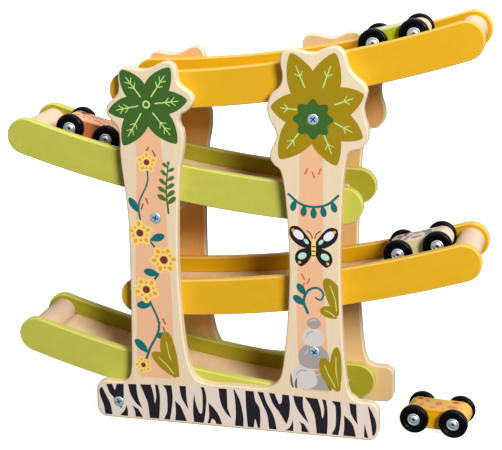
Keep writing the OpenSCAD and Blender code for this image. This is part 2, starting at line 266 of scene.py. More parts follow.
def tessellate(boundary, art, holes, lines=()):
    """Triangles of a flat region. art: [(polygon, colour)], later ones on top. Returns points, triangles with
    the number of the topmost art polygon (or -1), and the triangles of each hole."""
    co, edges, faces, kind = [], [], [], []

    def ring(p, tag):
        k = len(co)
        co.extend(Vector((q[0], q[1])) for q in p)
        faces.append(list(range(k, k + len(p))))
        kind.append(tag)

    ring(ccw(boundary), ("all", 0))
    for i, (p, c) in enumerate(art):
        ring(ccw(p), ("art", i))
    for i, p in enumerate(holes):
        ring(ccw(p), ("hole", i))
    for p in lines:
        k = len(co)
        co.extend(Vector((q[0], q[1])) for q in p)
        edges.extend((k + j, k + j + 1) for j in range(len(p) - 1))
    vs, _, fs, ov, _, of = delaunay_2d_cdt(co, edges, faces, 1, 1e-6, True)
    nb = len(boundary)
    rim = {i: min(src) for i, src in enumerate(ov) if src and min(src) < nb}
    pts = [(v[0], v[1]) for v in vs]
    tris, hole_tris = [], []
    for f, src in zip(fs, of):
        tags = [kind[s] for s in src]
        if ("all", 0) not in tags:
            continue
        hol = [t[1] for t in tags if t[0] == "hole"]
        if hol:
            hole_tris.append((list(f), hol[0]))
            continue
        a = [t[1] for t in tags if t[0] == "art"]
        tris.append((list(f), max(a) if a else -1))
    return pts, tris, hole_tris, rim


def slab(outline, y0, y1, r, steps=5, art0=(), art1=(), pockets0=(), pockets1=(), base=None, edge_col=None, grain=None, lines0=(), lines1=(), pocket_mi=0, bare=None):
    """A plate whose outline lies in X and Z, from y0 to y1, with edges rounded to r. art and pockets lie on
    the y0 face (0) or the y1 face (1); a pocket is (outline, depth)."""
    b = Build()
    p = ccw(outline)
    m = len(p)
    nrm = []
    for i in range(m):
        a, c = p[i - 1], p[(i + 1) % m]
        t = np.array([c[0] - a[0], c[1] - a[1]], float)
        t /= max(1e-9, float(np.hypot(*t)))
        nrm.append((t[1], -t[0]))
    gr = grain or (lambda x, y, z: (x, y, z))
    rings = []
    rows = [(0, math.pi / 2 * k / steps) for k in range(steps + 1)] + [(1, math.pi / 2 * (steps - k) / steps) for k in range(steps + 1)]
    for side, th in rows:
        ins = r * (1 - math.sin(th))
        dep = r * (1 - math.cos(th))
        y = y0 + dep if side == 0 else y1 - dep
        row = []
        for (x, z), (nx, nz) in zip(p, nrm):
            co = (x - nx * ins, y, z - nz * ins)
            row.append(b.vert(co, (nx * math.sin(th), (-1 if side == 0 else 1) * math.cos(th), nz * math.sin(th)), gr(*co)))
        rings.append(row)

    def edgeness(k):
        side, th = rows[k]
        return math.sin(th) ** 0.5

    for k in range(len(rings) - 1):
        lo, hi = rings[k], rings[k + 1]
        mid = k == steps
        for i in range(m):
            j = (i + 1) % m
            e0 = 0.0 if mid else 1.0
            b.face((lo[i], hi[i], hi[j], lo[j]), edge_col, 0.0, (e0,) * 4 if not mid else 0.35)
    for side, art, pockets, lines in ((0, art0, pockets0, lines0), (1, art1, pockets1, lines1)):
        y = y0 if side == 0 else y1
        ny = -1 if side == 0 else 1
        inset = [(x - nx * r, z - nz * r) for (x, z), (nx, nz) in zip(p, nrm)]
        pts, tris, hole, rim = tessellate(inset, [(q, c) for q, c in art], [q for q, d in pockets], lines)
        ring = rings[0] if side == 0 else rings[-1]
        vid = {}

        def vtx(i):
            if i not in vid:
                if i in rim:
                    vid[i] = ring[rim[i]]
                else:
                    key = (round(pts[i][0], 3), round(pts[i][1], 3))
                    if key not in vid:
                        co = (pts[i][0], y, pts[i][1])
                        vid[key] = b.vert(co, (0, ny, 0), gr(*co))
                    vid[i] = vid[key]
            return vid[i]

        for f, a in tris:
            idx = [vtx(i) for i in f]
            if len(set(idx)) < 3:
                continue
            if side == 1:
                idx = idx[::-1]
            b.face(idx, art[a][1] if a >= 0 else base, 1.0 if a >= 0 and side != bare else 0.0, 0.0)
        # pockets: the triangles of the hole, sunk, and walls along the hole's edge
        solid = set()
        for f, a in tris:
            for i in range(3):
                solid.add((f[(i + 1) % 3], f[i]))
        low = {}
        for f, h in hole:
            d = pockets[h][1]
            yy = y + d if side == 0 else y - d
            idx = []
            for i in f:
                if (h, i) not in low:
                    co = (pts[i][0], yy, pts[i][1])
                    low[(h, i)] = b.vert(co, (0, ny, 0), gr(*co))
                idx.append(low[(h, i)])
            b.face(idx if side == 0 else idx[::-1], base, 0.0, 0.0, pocket_mi)
            for i in range(3):
                e = (f[i], f[(i + 1) % 3])
                if e in solid:
                    q0, q1 = pts[e[0]], pts[e[1]]
                    t = np.array([q1[0] - q0[0], q1[1] - q0[1]])
                    t /= max(1e-9, float(np.hypot(*t)))
                    no = (-t[1], 0, t[0])
                    w = [b.vert((q0[0], y, q0[1]), no, gr(q0[0], y, q0[1])), b.vert((q1[0], y, q1[1]), no, gr(q1[0], y, q1[1])),
                         b.vert((q1[0], yy, q1[1]), no, gr(q1[0], yy, q1[1])), b.vert((q0[0], yy, q0[1]), no, gr(q0[0], yy, q0[1]))]
                    b.face(w if side == 0 else w[::-1], base, 0.0, 0.0, pocket_mi)
    return b


def lathe(profile, seg, sharp=(), mi_from=None):
    """A body of revolution about Y from (radius, y) points, open at the axis. Points in sharp are split."""
    b = Build()
    n = len(profile)
    nr = []
    for i in range(n - 1):
        (r0, y0), (r1, y1) = profile[i], profile[i + 1]
        l = max(1e-9, math.hypot(r1 - r0, y1 - y0))
        nr.append(((y1 - y0) / l, (r0 - r1) / l))
    for i in range(n - 1):
        def corner(k, here, other):
            if k in sharp or other < 0 or other >= len(nr):
                return nr[here]
            s = (nr[here][0] + nr[other][0], nr[here][1] + nr[other][1])
            l = max(1e-9, math.hypot(*s))
            return (s[0] / l, s[1] / l)
        n0, n1 = corner(i, i, i - 1), corner(i + 1, i, i + 1)
        rows = []
        for (rr, yy), (a, c) in ((profile[i], n0), (profile[i + 1], n1)):
            rows.append([b.vert((rr * math.cos(2 * math.pi * k / seg), yy, rr * math.sin(2 * math.pi * k / seg)),
                                (a * math.cos(2 * math.pi * k / seg), c, a * math.sin(2 * math.pi * k / seg))) for k in range(seg)])
        mi = 1 if mi_from is not None and i >= mi_from else 0
        for k in range(seg):
            j = (k + 1) % seg
            if profile[i][0] < 1e-6:
                b.face((rows[0][k], rows[1][k], rows[1][j]), mi=mi)
            elif profile[i + 1][0] < 1e-6:
                b.face((rows[0][k], rows[1][k], rows[0][j]), mi=mi)
            else:
                b.face((rows[0][k], rows[1][k], rows[1][j], rows[0][j]), mi=mi)
    return b


# ------------------------------------------------------------------ materials
class Mat:
    def __init__(self, name):
        self.m = bpy.data.materials.new(name)
        self.m.use_nodes = True
        self.t = self.m.node_tree
        self.t.nodes.clear()
        self.out = self.t.nodes.new("ShaderNodeOutputMaterial")
        self.b = self.t.nodes.new("ShaderNodeBsdfPrincipled")
        self.t.links.new(self.b.outputs[0], self.out.inputs[0])

    def node(self, kind, **kw):
        n = self.t.nodes.new(kind)
        for k, v in kw.items():
            setattr(n, k, v)
        return n

    def link(self, a, b):
        self.t.links.new(a, b)

    def attr(self, name):
        return self.node("ShaderNodeAttribute", attribute_name=name)

    def noise(self, vec, scale, stretch=(1, 1, 1), detail=4.0, rough=0.55, distort=0.0):
        mp = self.node("ShaderNodeMapping")
        mp.inputs["Scale"].default_value = stretch
        self.link(vec, mp.inputs["Vector"])
        n = self.node("ShaderNodeTexNoise")
        n.inputs["Scale"].default_value = scale
        n.inputs["Detail"].default_value = detail
        n.inputs["Roughness"].default_value = rough
        n.inputs["Distortion"].default_value = distort
        self.link(mp.outputs[0], n.inputs["Vector"])
        return n.outputs["Fac"]

    def ramp(self, fac, lo, hi, a=0.0, b=1.0):
        n = self.node("ShaderNodeMapRange")
        n.inputs["From Min"].default_value = lo
        n.inputs["From Max"].default_value = hi
        n.inputs["To Min"].default_value = a
        n.inputs["To Max"].default_value = b
        self.link(fac, n.inputs["Value"])
        return n.outputs[0]

    def math(self, op, a, b=None):
        n = self.node("ShaderNodeMath", operation=op)
        for i, x in enumerate((a, b)):
            if x is None:
                continue
            if isinstance(x, (int, float)):
                n.inputs[i].default_value = x
            else:
                self.link(x, n.inputs[i])
        return n.outputs[0]

    def mix(self, fac, a, b, blend="MIX"):
        n = self.node("ShaderNodeMix", data_type="RGBA", blend_type=blend)
        if isinstance(fac, (int, float)):
            n.inputs[0].default_value = fac
        else:
            self.link(fac, n.inputs[0])
        for sock, x in ((n.inputs[6], a), (n.inputs[7], b)):
            if isinstance(x, tuple):
                sock.default_value = x
            else:
                self.link(x, sock)
        return n.outputs[2]

    def scale(self, col, fac):
        n = self.node("ShaderNodeVectorMath", operation="SCALE")
        self.link(col, n.inputs[0])
        if isinstance(fac, (int, float)):
            n.inputs["Scale"].default_value = fac
        else:
            self.link(fac, n.inputs["Scale"])
        return n.outputs[0]

    def bump(self, height, strength, dist):
        n = self.node("ShaderNodeBump")
        n.inputs["Strength"].default_value = strength
        n.inputs["Distance"].default_value = dist
        self.link(height, n.inputs["Height"])
        self.link(n.outputs[0], self.b.inputs["Normal"])

    def set(self, **kw):
        for k, v in kw.items():
            s = self.b.inputs[k.replace("_", " ")]
            if isinstance(v, (int, float, tuple)):
                s.default_value = v
            else:
                self.link(v, s)


def wood_factor(k, vec, along, fine=1.0):
    """Two stretched noises: broad figure and fine fibres. along is the axis of the grain, 0 to 2."""
    st = [1.0, 1.0, 1.0]
    st[along] = 0.06
    broad = k.noise(vec, 130, tuple(st), 3.0, 0.5, 0.6)
    st2 = [1.0, 1.0, 1.0]
    st2[along] = 0.025
    fib = k.noise(vec, 900 * fine, tuple(st2), 3.0, 0.6)
    return broad, fib


def mat_panel(name, along=2):
    k = Mat(name)
    vec = k.attr("Grain").outputs["Vector"]
    paint = k.attr("Paint").outputs["Color"]
    ink = k.attr("InkAndShade").outputs["Fac"]
    edge = k.attr("Edge").outputs["Fac"]
    broad, fib = wood_factor(k, vec, along)
    bare = k.math("SUBTRACT", 1.0, k.math("MULTIPLY", ink, 0.62))
    v = k.math("ADD", k.math("MULTIPLY", k.math("SUBTRACT", broad, 0.5), 0.12), k.math("MULTIPLY", k.math("SUBTRACT", fib, 0.5), 0.14))
    v = k.math("ADD", 1.0, k.math("MULTIPLY", v, bare))
    col = k.scale(paint, v)
    col = k.mix(k.math("MULTIPLY", edge, 0.35), col, lin(246, 230, 204))
    k.link(col, k.b.inputs["Base Color"])
    k.set(Roughness=k.ramp(fib, 0.3, 0.7, 0.46, 0.58))
    k.set(**{"Specular_IOR_Level": 0.18})
    k.bump(k.math("ADD", k.math("MULTIPLY", fib, 0.6), broad), 0.10, 0.0004)
    return k.m


def mat_paint(name, col, light, deep, inner_shade, rough=0.46):
    """Satin paint on wood: slight mottling, the grain telegraphing through, paler worn edges, and painted shade on the
    faces that the ink attribute marks (the rails' channel-facing faces), which take the darker fourth colour.
    """
    k = Mat(name)
    vec = k.attr("Grain").outputs["Vector"]
    edge = k.attr("Edge").outputs["Fac"]
    broad, fib = wood_factor(k, vec, 0)
    mott = k.noise(vec, 220, (1, 1, 1), 4.0, 0.6)
    v = k.math("ADD", k.math("MULTIPLY", k.math("SUBTRACT", mott, 0.5), 0.7), k.math("ADD", k.math("MULTIPLY", k.math("SUBTRACT", broad, 0.5), 0.5), k.math("MULTIPLY", k.math("SUBTRACT", fib, 0.5), 0.45)))
    c = k.mix(k.ramp(v, -0.35, 0.35), deep, col)
    # painted shade: the faces marked by the ink attribute (the rails' channel-facing faces) take the darker, deeper
    # fourth colour, broken up by the wood figure
    c = k.mix(k.math("MULTIPLY", k.attr("InkAndShade").outputs["Fac"], k.ramp(broad, 0.3, 0.7, 0.75, 0.95)), c, inner_shade)
    wear = k.noise(vec, 500, (0.2, 1, 1), 3.0, 0.6)
    c = k.mix(k.math("MULTIPLY", edge, k.ramp(wear, 0.3, 0.7, 0.45, 0.85)), c, light)
    k.link(c, k.b.inputs["Base Color"])
    k.set(Roughness=k.ramp(mott, 0.3, 0.7, rough - 0.05, rough + 0.08))
    k.set(**{"Specular_IOR_Level": 0.16})
    k.bump(k.math("ADD", k.math("MULTIPLY", fib, 0.5), k.math("MULTIPLY", mott, 0.6)), 0.08, 0.0004)
    return k.m


def mat_bare(name, col, deep, along=0, fine=1.0, lines=0.22):
    k = Mat(name)
    vec = k.attr("Grain").outputs["Vector"]
    edge = k.attr("Edge").outputs["Fac"]
    broad, fib = wood_factor(k, vec, along, fine)
    v = k.math("ADD", k.math("MULTIPLY", broad, 0.55), k.math("MULTIPLY", fib, 0.45))
    c = k.mix(k.ramp(v, 0.32, 0.68), deep, col)
    c = k.mix(k.math("MULTIPLY", edge, 0.25), c, lin(246, 228, 200))
    k.link(c, k.b.inputs["Base Color"])
    k.set(Roughness=k.ramp(fib, 0.3, 0.7, 0.5, 0.65))
    k.set(**{"Specular_IOR_Level": 0.18})
    k.bump(k.math("ADD", k.math("MULTIPLY", fib, 0.8), broad), lines, 0.0003)
    return k.m


def mat_cad_wood(name, col, deep):
    """Bare wood for CAD nodes, which carry no grain attribute."""
    k = Mat(name)
    vec = k.node("ShaderNodeTexCoord").outputs["Object"]
    broad, fib = wood_factor(k, vec, 1)
    v = k.math("ADD", k.math("MULTIPLY", broad, 0.55), k.math("MULTIPLY", fib, 0.45))
    k.link(k.mix(k.ramp(v, 0.32, 0.68), deep, col), k.b.inputs["Base Color"])
    k.set(Roughness=k.ramp(fib, 0.3, 0.7, 0.5, 0.65))
    k.bump(fib, 0.15, 0.0003)
    return k.m


def mat_metal(name, col, rough, scale=900, tone=0.9, bump=0.04, metal=1.0):
    k = Mat(name)
    vec = k.node("ShaderNodeTexCoord").outputs["Object"]
    n = k.noise(vec, scale, (1, 1, 1), 3.0, 0.6)
    k.link(k.mix(k.ramp(n, 0.3, 0.7), tuple(x * tone for x in col[:3]) + (1,), col), k.b.inputs["Base Color"])
    k.set(Metallic=metal, Roughness=k.ramp(n, 0.3, 0.7, rough * 0.85, rough * 1.2))
    k.bump(n, bump, 0.0002)
    return k.m


def mat_plastic(name, col, rough):
    k = Mat(name)
    vec = k.node("ShaderNodeTexCoord").outputs["Object"]
    n = k.noise(vec, 700, (1, 1, 1), 4.0, 0.6)
    big = k.noise(vec, 90, (1, 1, 1), 2.0, 0.5)
    k.link(k.mix(k.ramp(big, 0.35, 0.65), tuple(x * 0.8 for x in col[:3]) + (1,), tuple(x * 1.2 for x in col[:3]) + (1,)), k.b.inputs["Base Color"])
    k.set(Roughness=k.ramp(n, 0.3, 0.7, rough * 0.85, rough * 1.25))
    k.set(**{"Specular_IOR_Level": 0.11})
    k.bump(n, 0.04, 0.0002)
    return k.m


M_PANEL = mat_panel("panel_print")
# The fourth colour of each rail paint is painted shade for the rails' channel-facing faces.
M_YELLOW = mat_paint("honey_paint", lin(227, 176, 36), lin(228, 188, 106), lin(220, 167, 26), lin(198, 149, 3))
M_LIME = mat_paint("lime_paint", lin(197, 195, 87), lin(200, 199, 104), lin(187, 185, 72), lin(160, 151, 27))
M_FLOOR = mat_bare("floor_wood", lin(240, 211, 168), lin(226, 188, 138), along=1, fine=0.8, lines=0.3)
M_DOWEL = mat_bare("dowel_wood", lin(221, 193, 169), lin(214, 182, 152), along=1, lines=0.14)
M_CADWOOD = mat_cad_wood("peg_wood", lin(236, 206, 164), lin(218, 180, 134))
M_ZINC = mat_metal("zinc", lin(196, 227, 245), 0.36, metal=0.65)
# Dark blue-grey for the screws' cross recesses: painted shade in the recess, where the zinc is the same as on the head.
M_RECESS_SHADE = mat_metal("zinc_recess_shade", lin(44, 92, 132), 0.5, metal=0.6)
M_STEEL = mat_metal("axle_steel", lin(205, 208, 212), 0.25)
M_CAP = mat_metal("cap_steel", lin(208, 221, 228), 0.33, 400, 0.93, 0.02, 0.8)
# Dark grey for the dimple in the middle of each axle cap: painted shade in the hollow.
M_PIT_SHADE = mat_metal("cap_pit_shade", lin(86, 86, 88), 0.5, 500, 0.8, 0.04)
M_BLACK = mat_plastic("wheel_black", lin(4, 4, 6), 0.24)


def mat_car(name, side, side_deep):
    """Painted block: the wrap-round print comes from the Paint attribute, the sides are plain stained wood."""
    k = Mat(name)
    vec = k.attr("Grain").outputs["Vector"]
    paint = k.attr("Paint").outputs["Color"]
    ink = k.attr("InkAndShade").outputs["Fac"]
    edge = k.attr("Edge").outputs["Fac"]
    broad, fib = wood_factor(k, vec, 0, 1.2)
    v = k.math("ADD", k.math("MULTIPLY", broad, 0.5), k.math("MULTIPLY", fib, 0.5))
    sidec = k.mix(k.ramp(v, 0.34, 0.66), side_deep, side)
    top = k.scale(paint, k.ramp(v, 0.3, 0.7, 0.93, 1.06))
    c = k.mix(ink, sidec, top)
    k.link(c, k.b.inputs["Base Color"])
    k.set(Roughness=k.ramp(fib, 0.3, 0.7, 0.38, 0.5))
    k.set(**{"Specular_IOR_Level": 0.22})
    k.bump(k.math("ADD", k.math("MULTIPLY", fib, 0.7), broad), 0.10, 0.0003)
    return k.m


# ------------------------------------------------------------------ the side panels' outline
TREE = [
    (-102, 30), (-95, 29.8), (-88, 30.6), (-83.5, 34), (-81.5, 41), (-80.4, 65), (-79.5, 95),
    (-79, 128), (-79, 156), (-80, 176), (-82, 194), (-83.2, 209), (-83.2, 222),
    (-84.5, 230), (-89, 234.8), (-92, 239), (-92.5, 243.5), (-90.5, 247.5), (-86.5, 251), (-83.5, 254.5),
    (-82.3, 259.5), (-82.6, 265), (-82.4, 269.5), (-80.4, 272.8), (-76.5, 274), (-71, 273.4), (-64.5, 272.6),
    (-58.5, 273.7), (-53, 276.3), (-48.5, 278.4), (-44.5, 278.8), (-41, 277), (-39, 273), (-38.2, 268),
    (-37, 263), (-33, 259.5), (-28.8, 256.6), (-26.6, 252.5), (-27.5, 248), (-31.5, 243.4), (-35.8, 240.8),
    (-37.6, 236.5), (-36.8, 232.5), (-35, 229.5), (-34.4, 225),
    (-35, 215), (-37.5, 202), (-39.5, 184), (-40.8, 160), (-41.5, 125), (-40.8, 98), (-39.2, 75),
    (-37, 57), (-34, 45), (-29, 37), (-21, 34.2),
    (0, 34.4), (20, 34.2),
    (28, 36), (33.5, 40.5), (36.4, 47), (39.2, 66), (41.5, 90), (43, 120), (43, 140), (42.2, 160),
    (40.8, 181), (39, 195),
    (36.6, 203.4), (32.3, 207), (29.7, 211.5), (30.2, 217), (33, 223), (34.6, 228.5), (33, 233.5), (30, 239),
    (28.1, 245), (28.5, 252), (31.5, 258.5), (36, 262.5), (38.5, 267), (38.9, 272.5), (37.8, 278.5),
    (37.8, 284), (39.5, 288.4), (44.5, 290), (51, 289.4), (57.5, 288), (63, 288.2), (68.5, 290.5),
    (74, 292.4), (79, 292), (83, 288.5), (84.8, 283), (87, 276.8), (92, 271), (97, 267), (99.5, 262),
    (98.8, 257), (97.2, 251), (97.8, 244), (100, 237), (100.7, 230), (99, 224.5), (95, 220.5), (89.5, 219.3),
    (86, 216.5),
    (84.5, 210), (83, 198), (81.8, 181), (81, 155), (80.6, 128), (81.3, 106), (83, 75), (85.2, 50),
    (87, 38.5), (90, 32.6), (95, 30.2), (102, 30)]


def panel_outline():
    q = arc(-102, 8, 8, 270, 180, 10) + arc(-102, 22, 8, 180, 94, 10)
    q += smooth(TREE, 7, end=(1, 0))[:-1]
    q += arc(102, 22, 8, 90, 0, 10) + arc(102, 8, 8, 0, -90, 10)
    out = []
    for p in q:
        if not out or math.hypot(p[0] - out[-1][0], p[1] - out[-1][1]) > 0.05:
            out.append(p)
    return [(x + FOOT_X, z) for x, z in out]


# ------------------------------------------------------------------ the printed decoration (x from the foot's middle, z)
def band_top(x):
    return 31.7 - 4.4 * (x / 104.0) ** 2


BAND_LO = 2.2


def band_z(x, t):
    return BAND_LO + t * (band_top(x) - BAND_LO)


def stripe(runs, steps=6):
    """A mark of the striped band: smooth runs of (x, share of the height) round its outline, with corners between them."""
    pts = []
    for run in runs:
        pts += [(x, band_z(x, t)) for x, t in (smooth(run, steps) if len(run) > 2 else list(run))]
    out = []
    for p in pts:
        if not out or math.hypot(p[0] - out[-1][0], p[1] - out[-1][1]) > 0.02:
            out.append(p)
    if math.hypot(out[0][0] - out[-1][0], out[0][1] - out[-1][1]) < 0.02:
        out.pop()
    return out


def band_art():
    art = []
    lo = BAND_LO
    pts = arc(-102, lo + 6, 6, 270, 180, 6) + arc(-102, 21.4, 6, 180, 95, 6)
    pts += [(x, band_top(x)) for x in range(-98, 99, 7)]
    pts += arc(102.6, 21.4, 6, 85, 0, 6) + arc(102.6, lo + 6, 6, 0, -90, 6)
    art.append((pts, BAND))
    S = [
        [[(-103.9, 0), (-104.6, 0.24), (-107, 0.56), (-108, 0.76), (-107, 0.87)], [(-105.6, 0.9), (-102.2, 0.6), (-99.1, 0.31), (-98, 0)]],
        [[(-102.1, 1), (-99.9, 0.74), (-96.4, 0.56), (-90.5, 0.21)], [(-88.2, 0.6), (-87.8, 1)], [(-93.6, 1), (-95.1, 0.81), (-97.3, 1)]],
        [[(-91.9, 0), (-88.3, 0.15), (-86.1, 0.34)], [(-85.2, 0.18), (-85.4, 0)]],
        [[(-84.4, 1), (-82.9, 0.74), (-79.2, 0.46), (-73.2, 0.26)], [(-75.8, 0.49), (-77.2, 0.75), (-77.6, 1)]],
        [[(-79, 0), (-79.5, 0.15), (-81.4, 0.34)], [(-76.7, 0.24), (-73.1, 0)]],
        [[(-74.6, 1), (-70.9, 0.66), (-68.5, 0.36), (-67.7, 0)], [(-60.1, 0), (-59.2, 0.36), (-58.8, 0.65), (-60.2, 1)], [(-62.6, 1), (-61.8, 0.7), (-63.3, 0.46), (-63.8, 0.67), (-65.9, 1)]],
        [[(-56.2, 1), (-53.1, 0.69), (-53, 0.4), (-56.1, 0)], [(-51.4, 0), (-49.4, 0.39), (-48.6, 0.68), (-49.2, 1)]],
        [[(-43.2, 1), (-42.1, 0.74), (-39.6, 0.53), (-36.1, 0.33)], [(-37.3, 0.54), (-37.7, 0.75), (-37.9, 1)]],
        [[(-47.3, 0), (-46.5, 0.25), (-46.9, 0.57)], [(-42.3, 0.41), (-37.7, 0)]],
        [[(-32.1, 0), (-32.7, 0.29), (-32.2, 0.6), (-31.2, 0.8)], [(-30.8, 0.6), (-29.1, 0.39), (-26.7, 0.25), (-25.1, 0.41), (-24.9, 0.74), (-26.1, 1)], [(-23.5, 1), (-21.9, 0.7), (-22.6, 0.37), (-24.4, 0)]],
        [[(-21.5, 0), (-20, 0.24), (-20.3, 0.58)], [(-15.9, 0.43), (-12.1, 0.23), (-9.9, 0)], [(-14.2, 0), (-15.5, 0.09), (-18.1, 0.12), (-19.1, 0)]],
        [[(-12.2, 1), (-11.1, 0.68), (-7.4, 0.37), (-2.3, 0.19)], [(-5.4, 0.46), (-5.5, 0.74), (-5.7, 1)]],
        [[(-0.6, 1), (0.6, 0.72), (1.1, 0.39), (0.2, 0)], [(6.8, 0), (7, 0.2), (6.3, 0.41), (4.5, 0.7), (0.3, 1)]],
        [[(8.9, 1), (9, 0.67), (9.5, 0.33), (10.3, 0)], [(14.9, 0), (16, 0.23), (18.1, 0)], [(19.8, 0), (20.2, 0.27), (20, 0.46), (16.2, 0.77), (15.3, 1)]],
        [[(18.2, 1), (22, 0.67), (25.7, 0.34), (26.9, 0)], [(32.7, 0), (31.5, 0.24), (29.6, 0.44), (24.6, 0.77), (22.7, 1)]],
        [[(26.9, 1), (29.7, 0.74), (35.4, 0.46), (40.3, 0.17)], [(42.4, 0.4), (43.1, 0.73), (42.3, 1)], [(37.1, 1), (37.1, 0.89), (35.5, 0.72), (33, 0.85), (31.4, 1)]],
        [[(39.5, 0), (43, 0.11), (45.1, 0.31)], [(45.6, 0.17), (45.6, 0)]],
        [[(45.4, 1), (47.3, 0.75), (51.4, 0.5), (57.6, 0.25)], [(54.6, 0.52), (53, 0.79), (53.1, 1)]],
        [[(51.9, 0), (51.7, 0.15), (49.6, 0.29)], [(53.9, 0.23), (57.7, 0)]],
        [[(54.5, 1), (59, 0.75), (62.2, 0.43), (63.4, 0)], [(71.3, 0), (71.8, 0.37), (71.7, 0.66), (70.4, 1)], [(67.6, 1), (69.1, 0.7), (67.9, 0.45), (66.3, 0.74), (64.1, 1)]],
        [[(74.8, 1), (78, 0.7), (78, 0.4), (74.8, 0)], [(79.9, 0), (81.4, 0.36), (82, 0.69), (81.4, 1)]],
        [[(88, 1), (88.9, 0.75), (91.1, 0.56), (94.6, 0.37)], [(93.9, 0.55), (93.6, 0.73), (93.3, 1)]],
        [[(83.7, 0), (84.3, 0.33), (84.2, 0.62)], [(88, 0.49), (91.2, 0.31), (93.1, 0)]],
        [[(99.3, 0), (99.3, 0.24), (99.6, 0.44)], [(100.9, 0.22), (102.5, 0)]],
        [[(101.9, 0.99), (103.2, 0.72), (104.5, 0.42), (105.6, 0.08)], [(106.8, 0.1), (108.2, 0.24), (108.5, 0.36), (108, 0.53), (105.4, 0.8), (102.8, 0.99)]],
    ]
    for runs in S:
        art.append((stripe(runs), CHAR))
    return art


def rosette(cx, cz, tips, w, col, line, vein_from, art, base=0.55):
    for i, (tx, tz) in enumerate(tips):
        art.append((petal(cx, cz, tx, tz, w[i], base=base, top=0.44, n=24, blunt=0.42), col))
    for tx, tz in tips:
        a = np.array([tx - cx, tz - cz], float)
        ln = float(np.hypot(*a))
        a /= ln
        nr = np.array([-a[1], a[0]])
        c = np.array([cx, cz])
        art.append((stroke([tuple(c + a * ln * vein_from), tuple(c + a * ln * 0.78)], 1.1, 0.7), line))
        for s in (0.46, 0.6):
            if s < vein_from + 0.06:
                continue
            p = c + a * ln * s
            for sg in (-1, 1):
                q = p + a * 3.2 + nr * sg * 3.0
                art.append((stroke([tuple(p), tuple(q)], 0.8, 0.6), line))


def flower(cx, cz, r, art, lobes=5, rot=0.0, tone=PALEYEL):
    pts = []
    for k in range(72):
        a = 2 * math.pi * k / 72
        rr = r * (0.86 + 0.14 * math.cos(lobes * a))
        pts.append((cx + rr * math.cos(a + rot), cz + rr * math.sin(a + rot)))
    art.append((pts, tone))
    for j in range(lobes):
        a = rot + 2 * math.pi * j / lobes
        art.append((circle(cx + 0.66 * r * math.cos(a), cz + 0.66 * r * math.sin(a), 0.17 * r, 18, 0.13 * r, math.degrees(a)), ORANGE))
        a += math.pi / lobes
        art.append((circle(cx + 0.52 * r * math.cos(a), cz + 0.52 * r * math.sin(a), 0.1 * r, 14), ORANGE))
    art.append((circle(cx, cz, 0.27 * r, 26), MAROON))


def sprig(path, leaves, ln, w, col, art, lean=55):
    c = smooth(path, 40)
    art.append((stroke(path, 1.7, 1.0), col))
    m = len(c)
    for j in range(leaves):
        i = int((0.2 + 0.76 * j / (leaves - 1)) * (m - 1))
        a, b = np.array(c[max(0, i - 1)]), np.array(c[min(m - 1, i + 1)])
        t = (b - a) / float(np.hypot(*(b - a)))
        sg = 1 if j % 2 else -1
        th = math.radians(lean) * sg
        d = np.array([t[0] * math.cos(th) - t[1] * math.sin(th), t[0] * math.sin(th) + t[1] * math.cos(th)])
        k = 1.0 - 0.35 * j / (leaves - 1)
        p = np.array(c[i])
        q = p + d * ln * k
        art.append((petal(p[0], p[1], q[0], q[1], w * k, base=0.25, top=0.6, n=10), col))
    q = np.array(c[-1]) + (np.array(c[-1]) - np.array(c[-3])) * 3.2
    art.append((petal(c[-1][0], c[-1][1], q[0], q[1], w * 0.62, base=0.3, top=0.6, n=10), col))


def leafy(bx, bz, tx, tz, w, col, line, art, bend=0.0):
    art.append((petal(bx, bz, tx, tz, w, base=0.16, top=0.55, n=18, bend=bend), col))
    a = np.array([tx - bx, tz - bz], float)
    ln = float(np.hypot(*a))
    a /= ln
    nr = np.array([-a[1], a[0]])
    c = np.array([bx, bz])
    pts = [tuple(c + a * ln * u + nr * bend * math.sin(math.pi * u)) for u in (0.14, 0.45, 0.78)]
    if line is not None:
        art.append((stroke(pts, 0.9, 0.6), line))


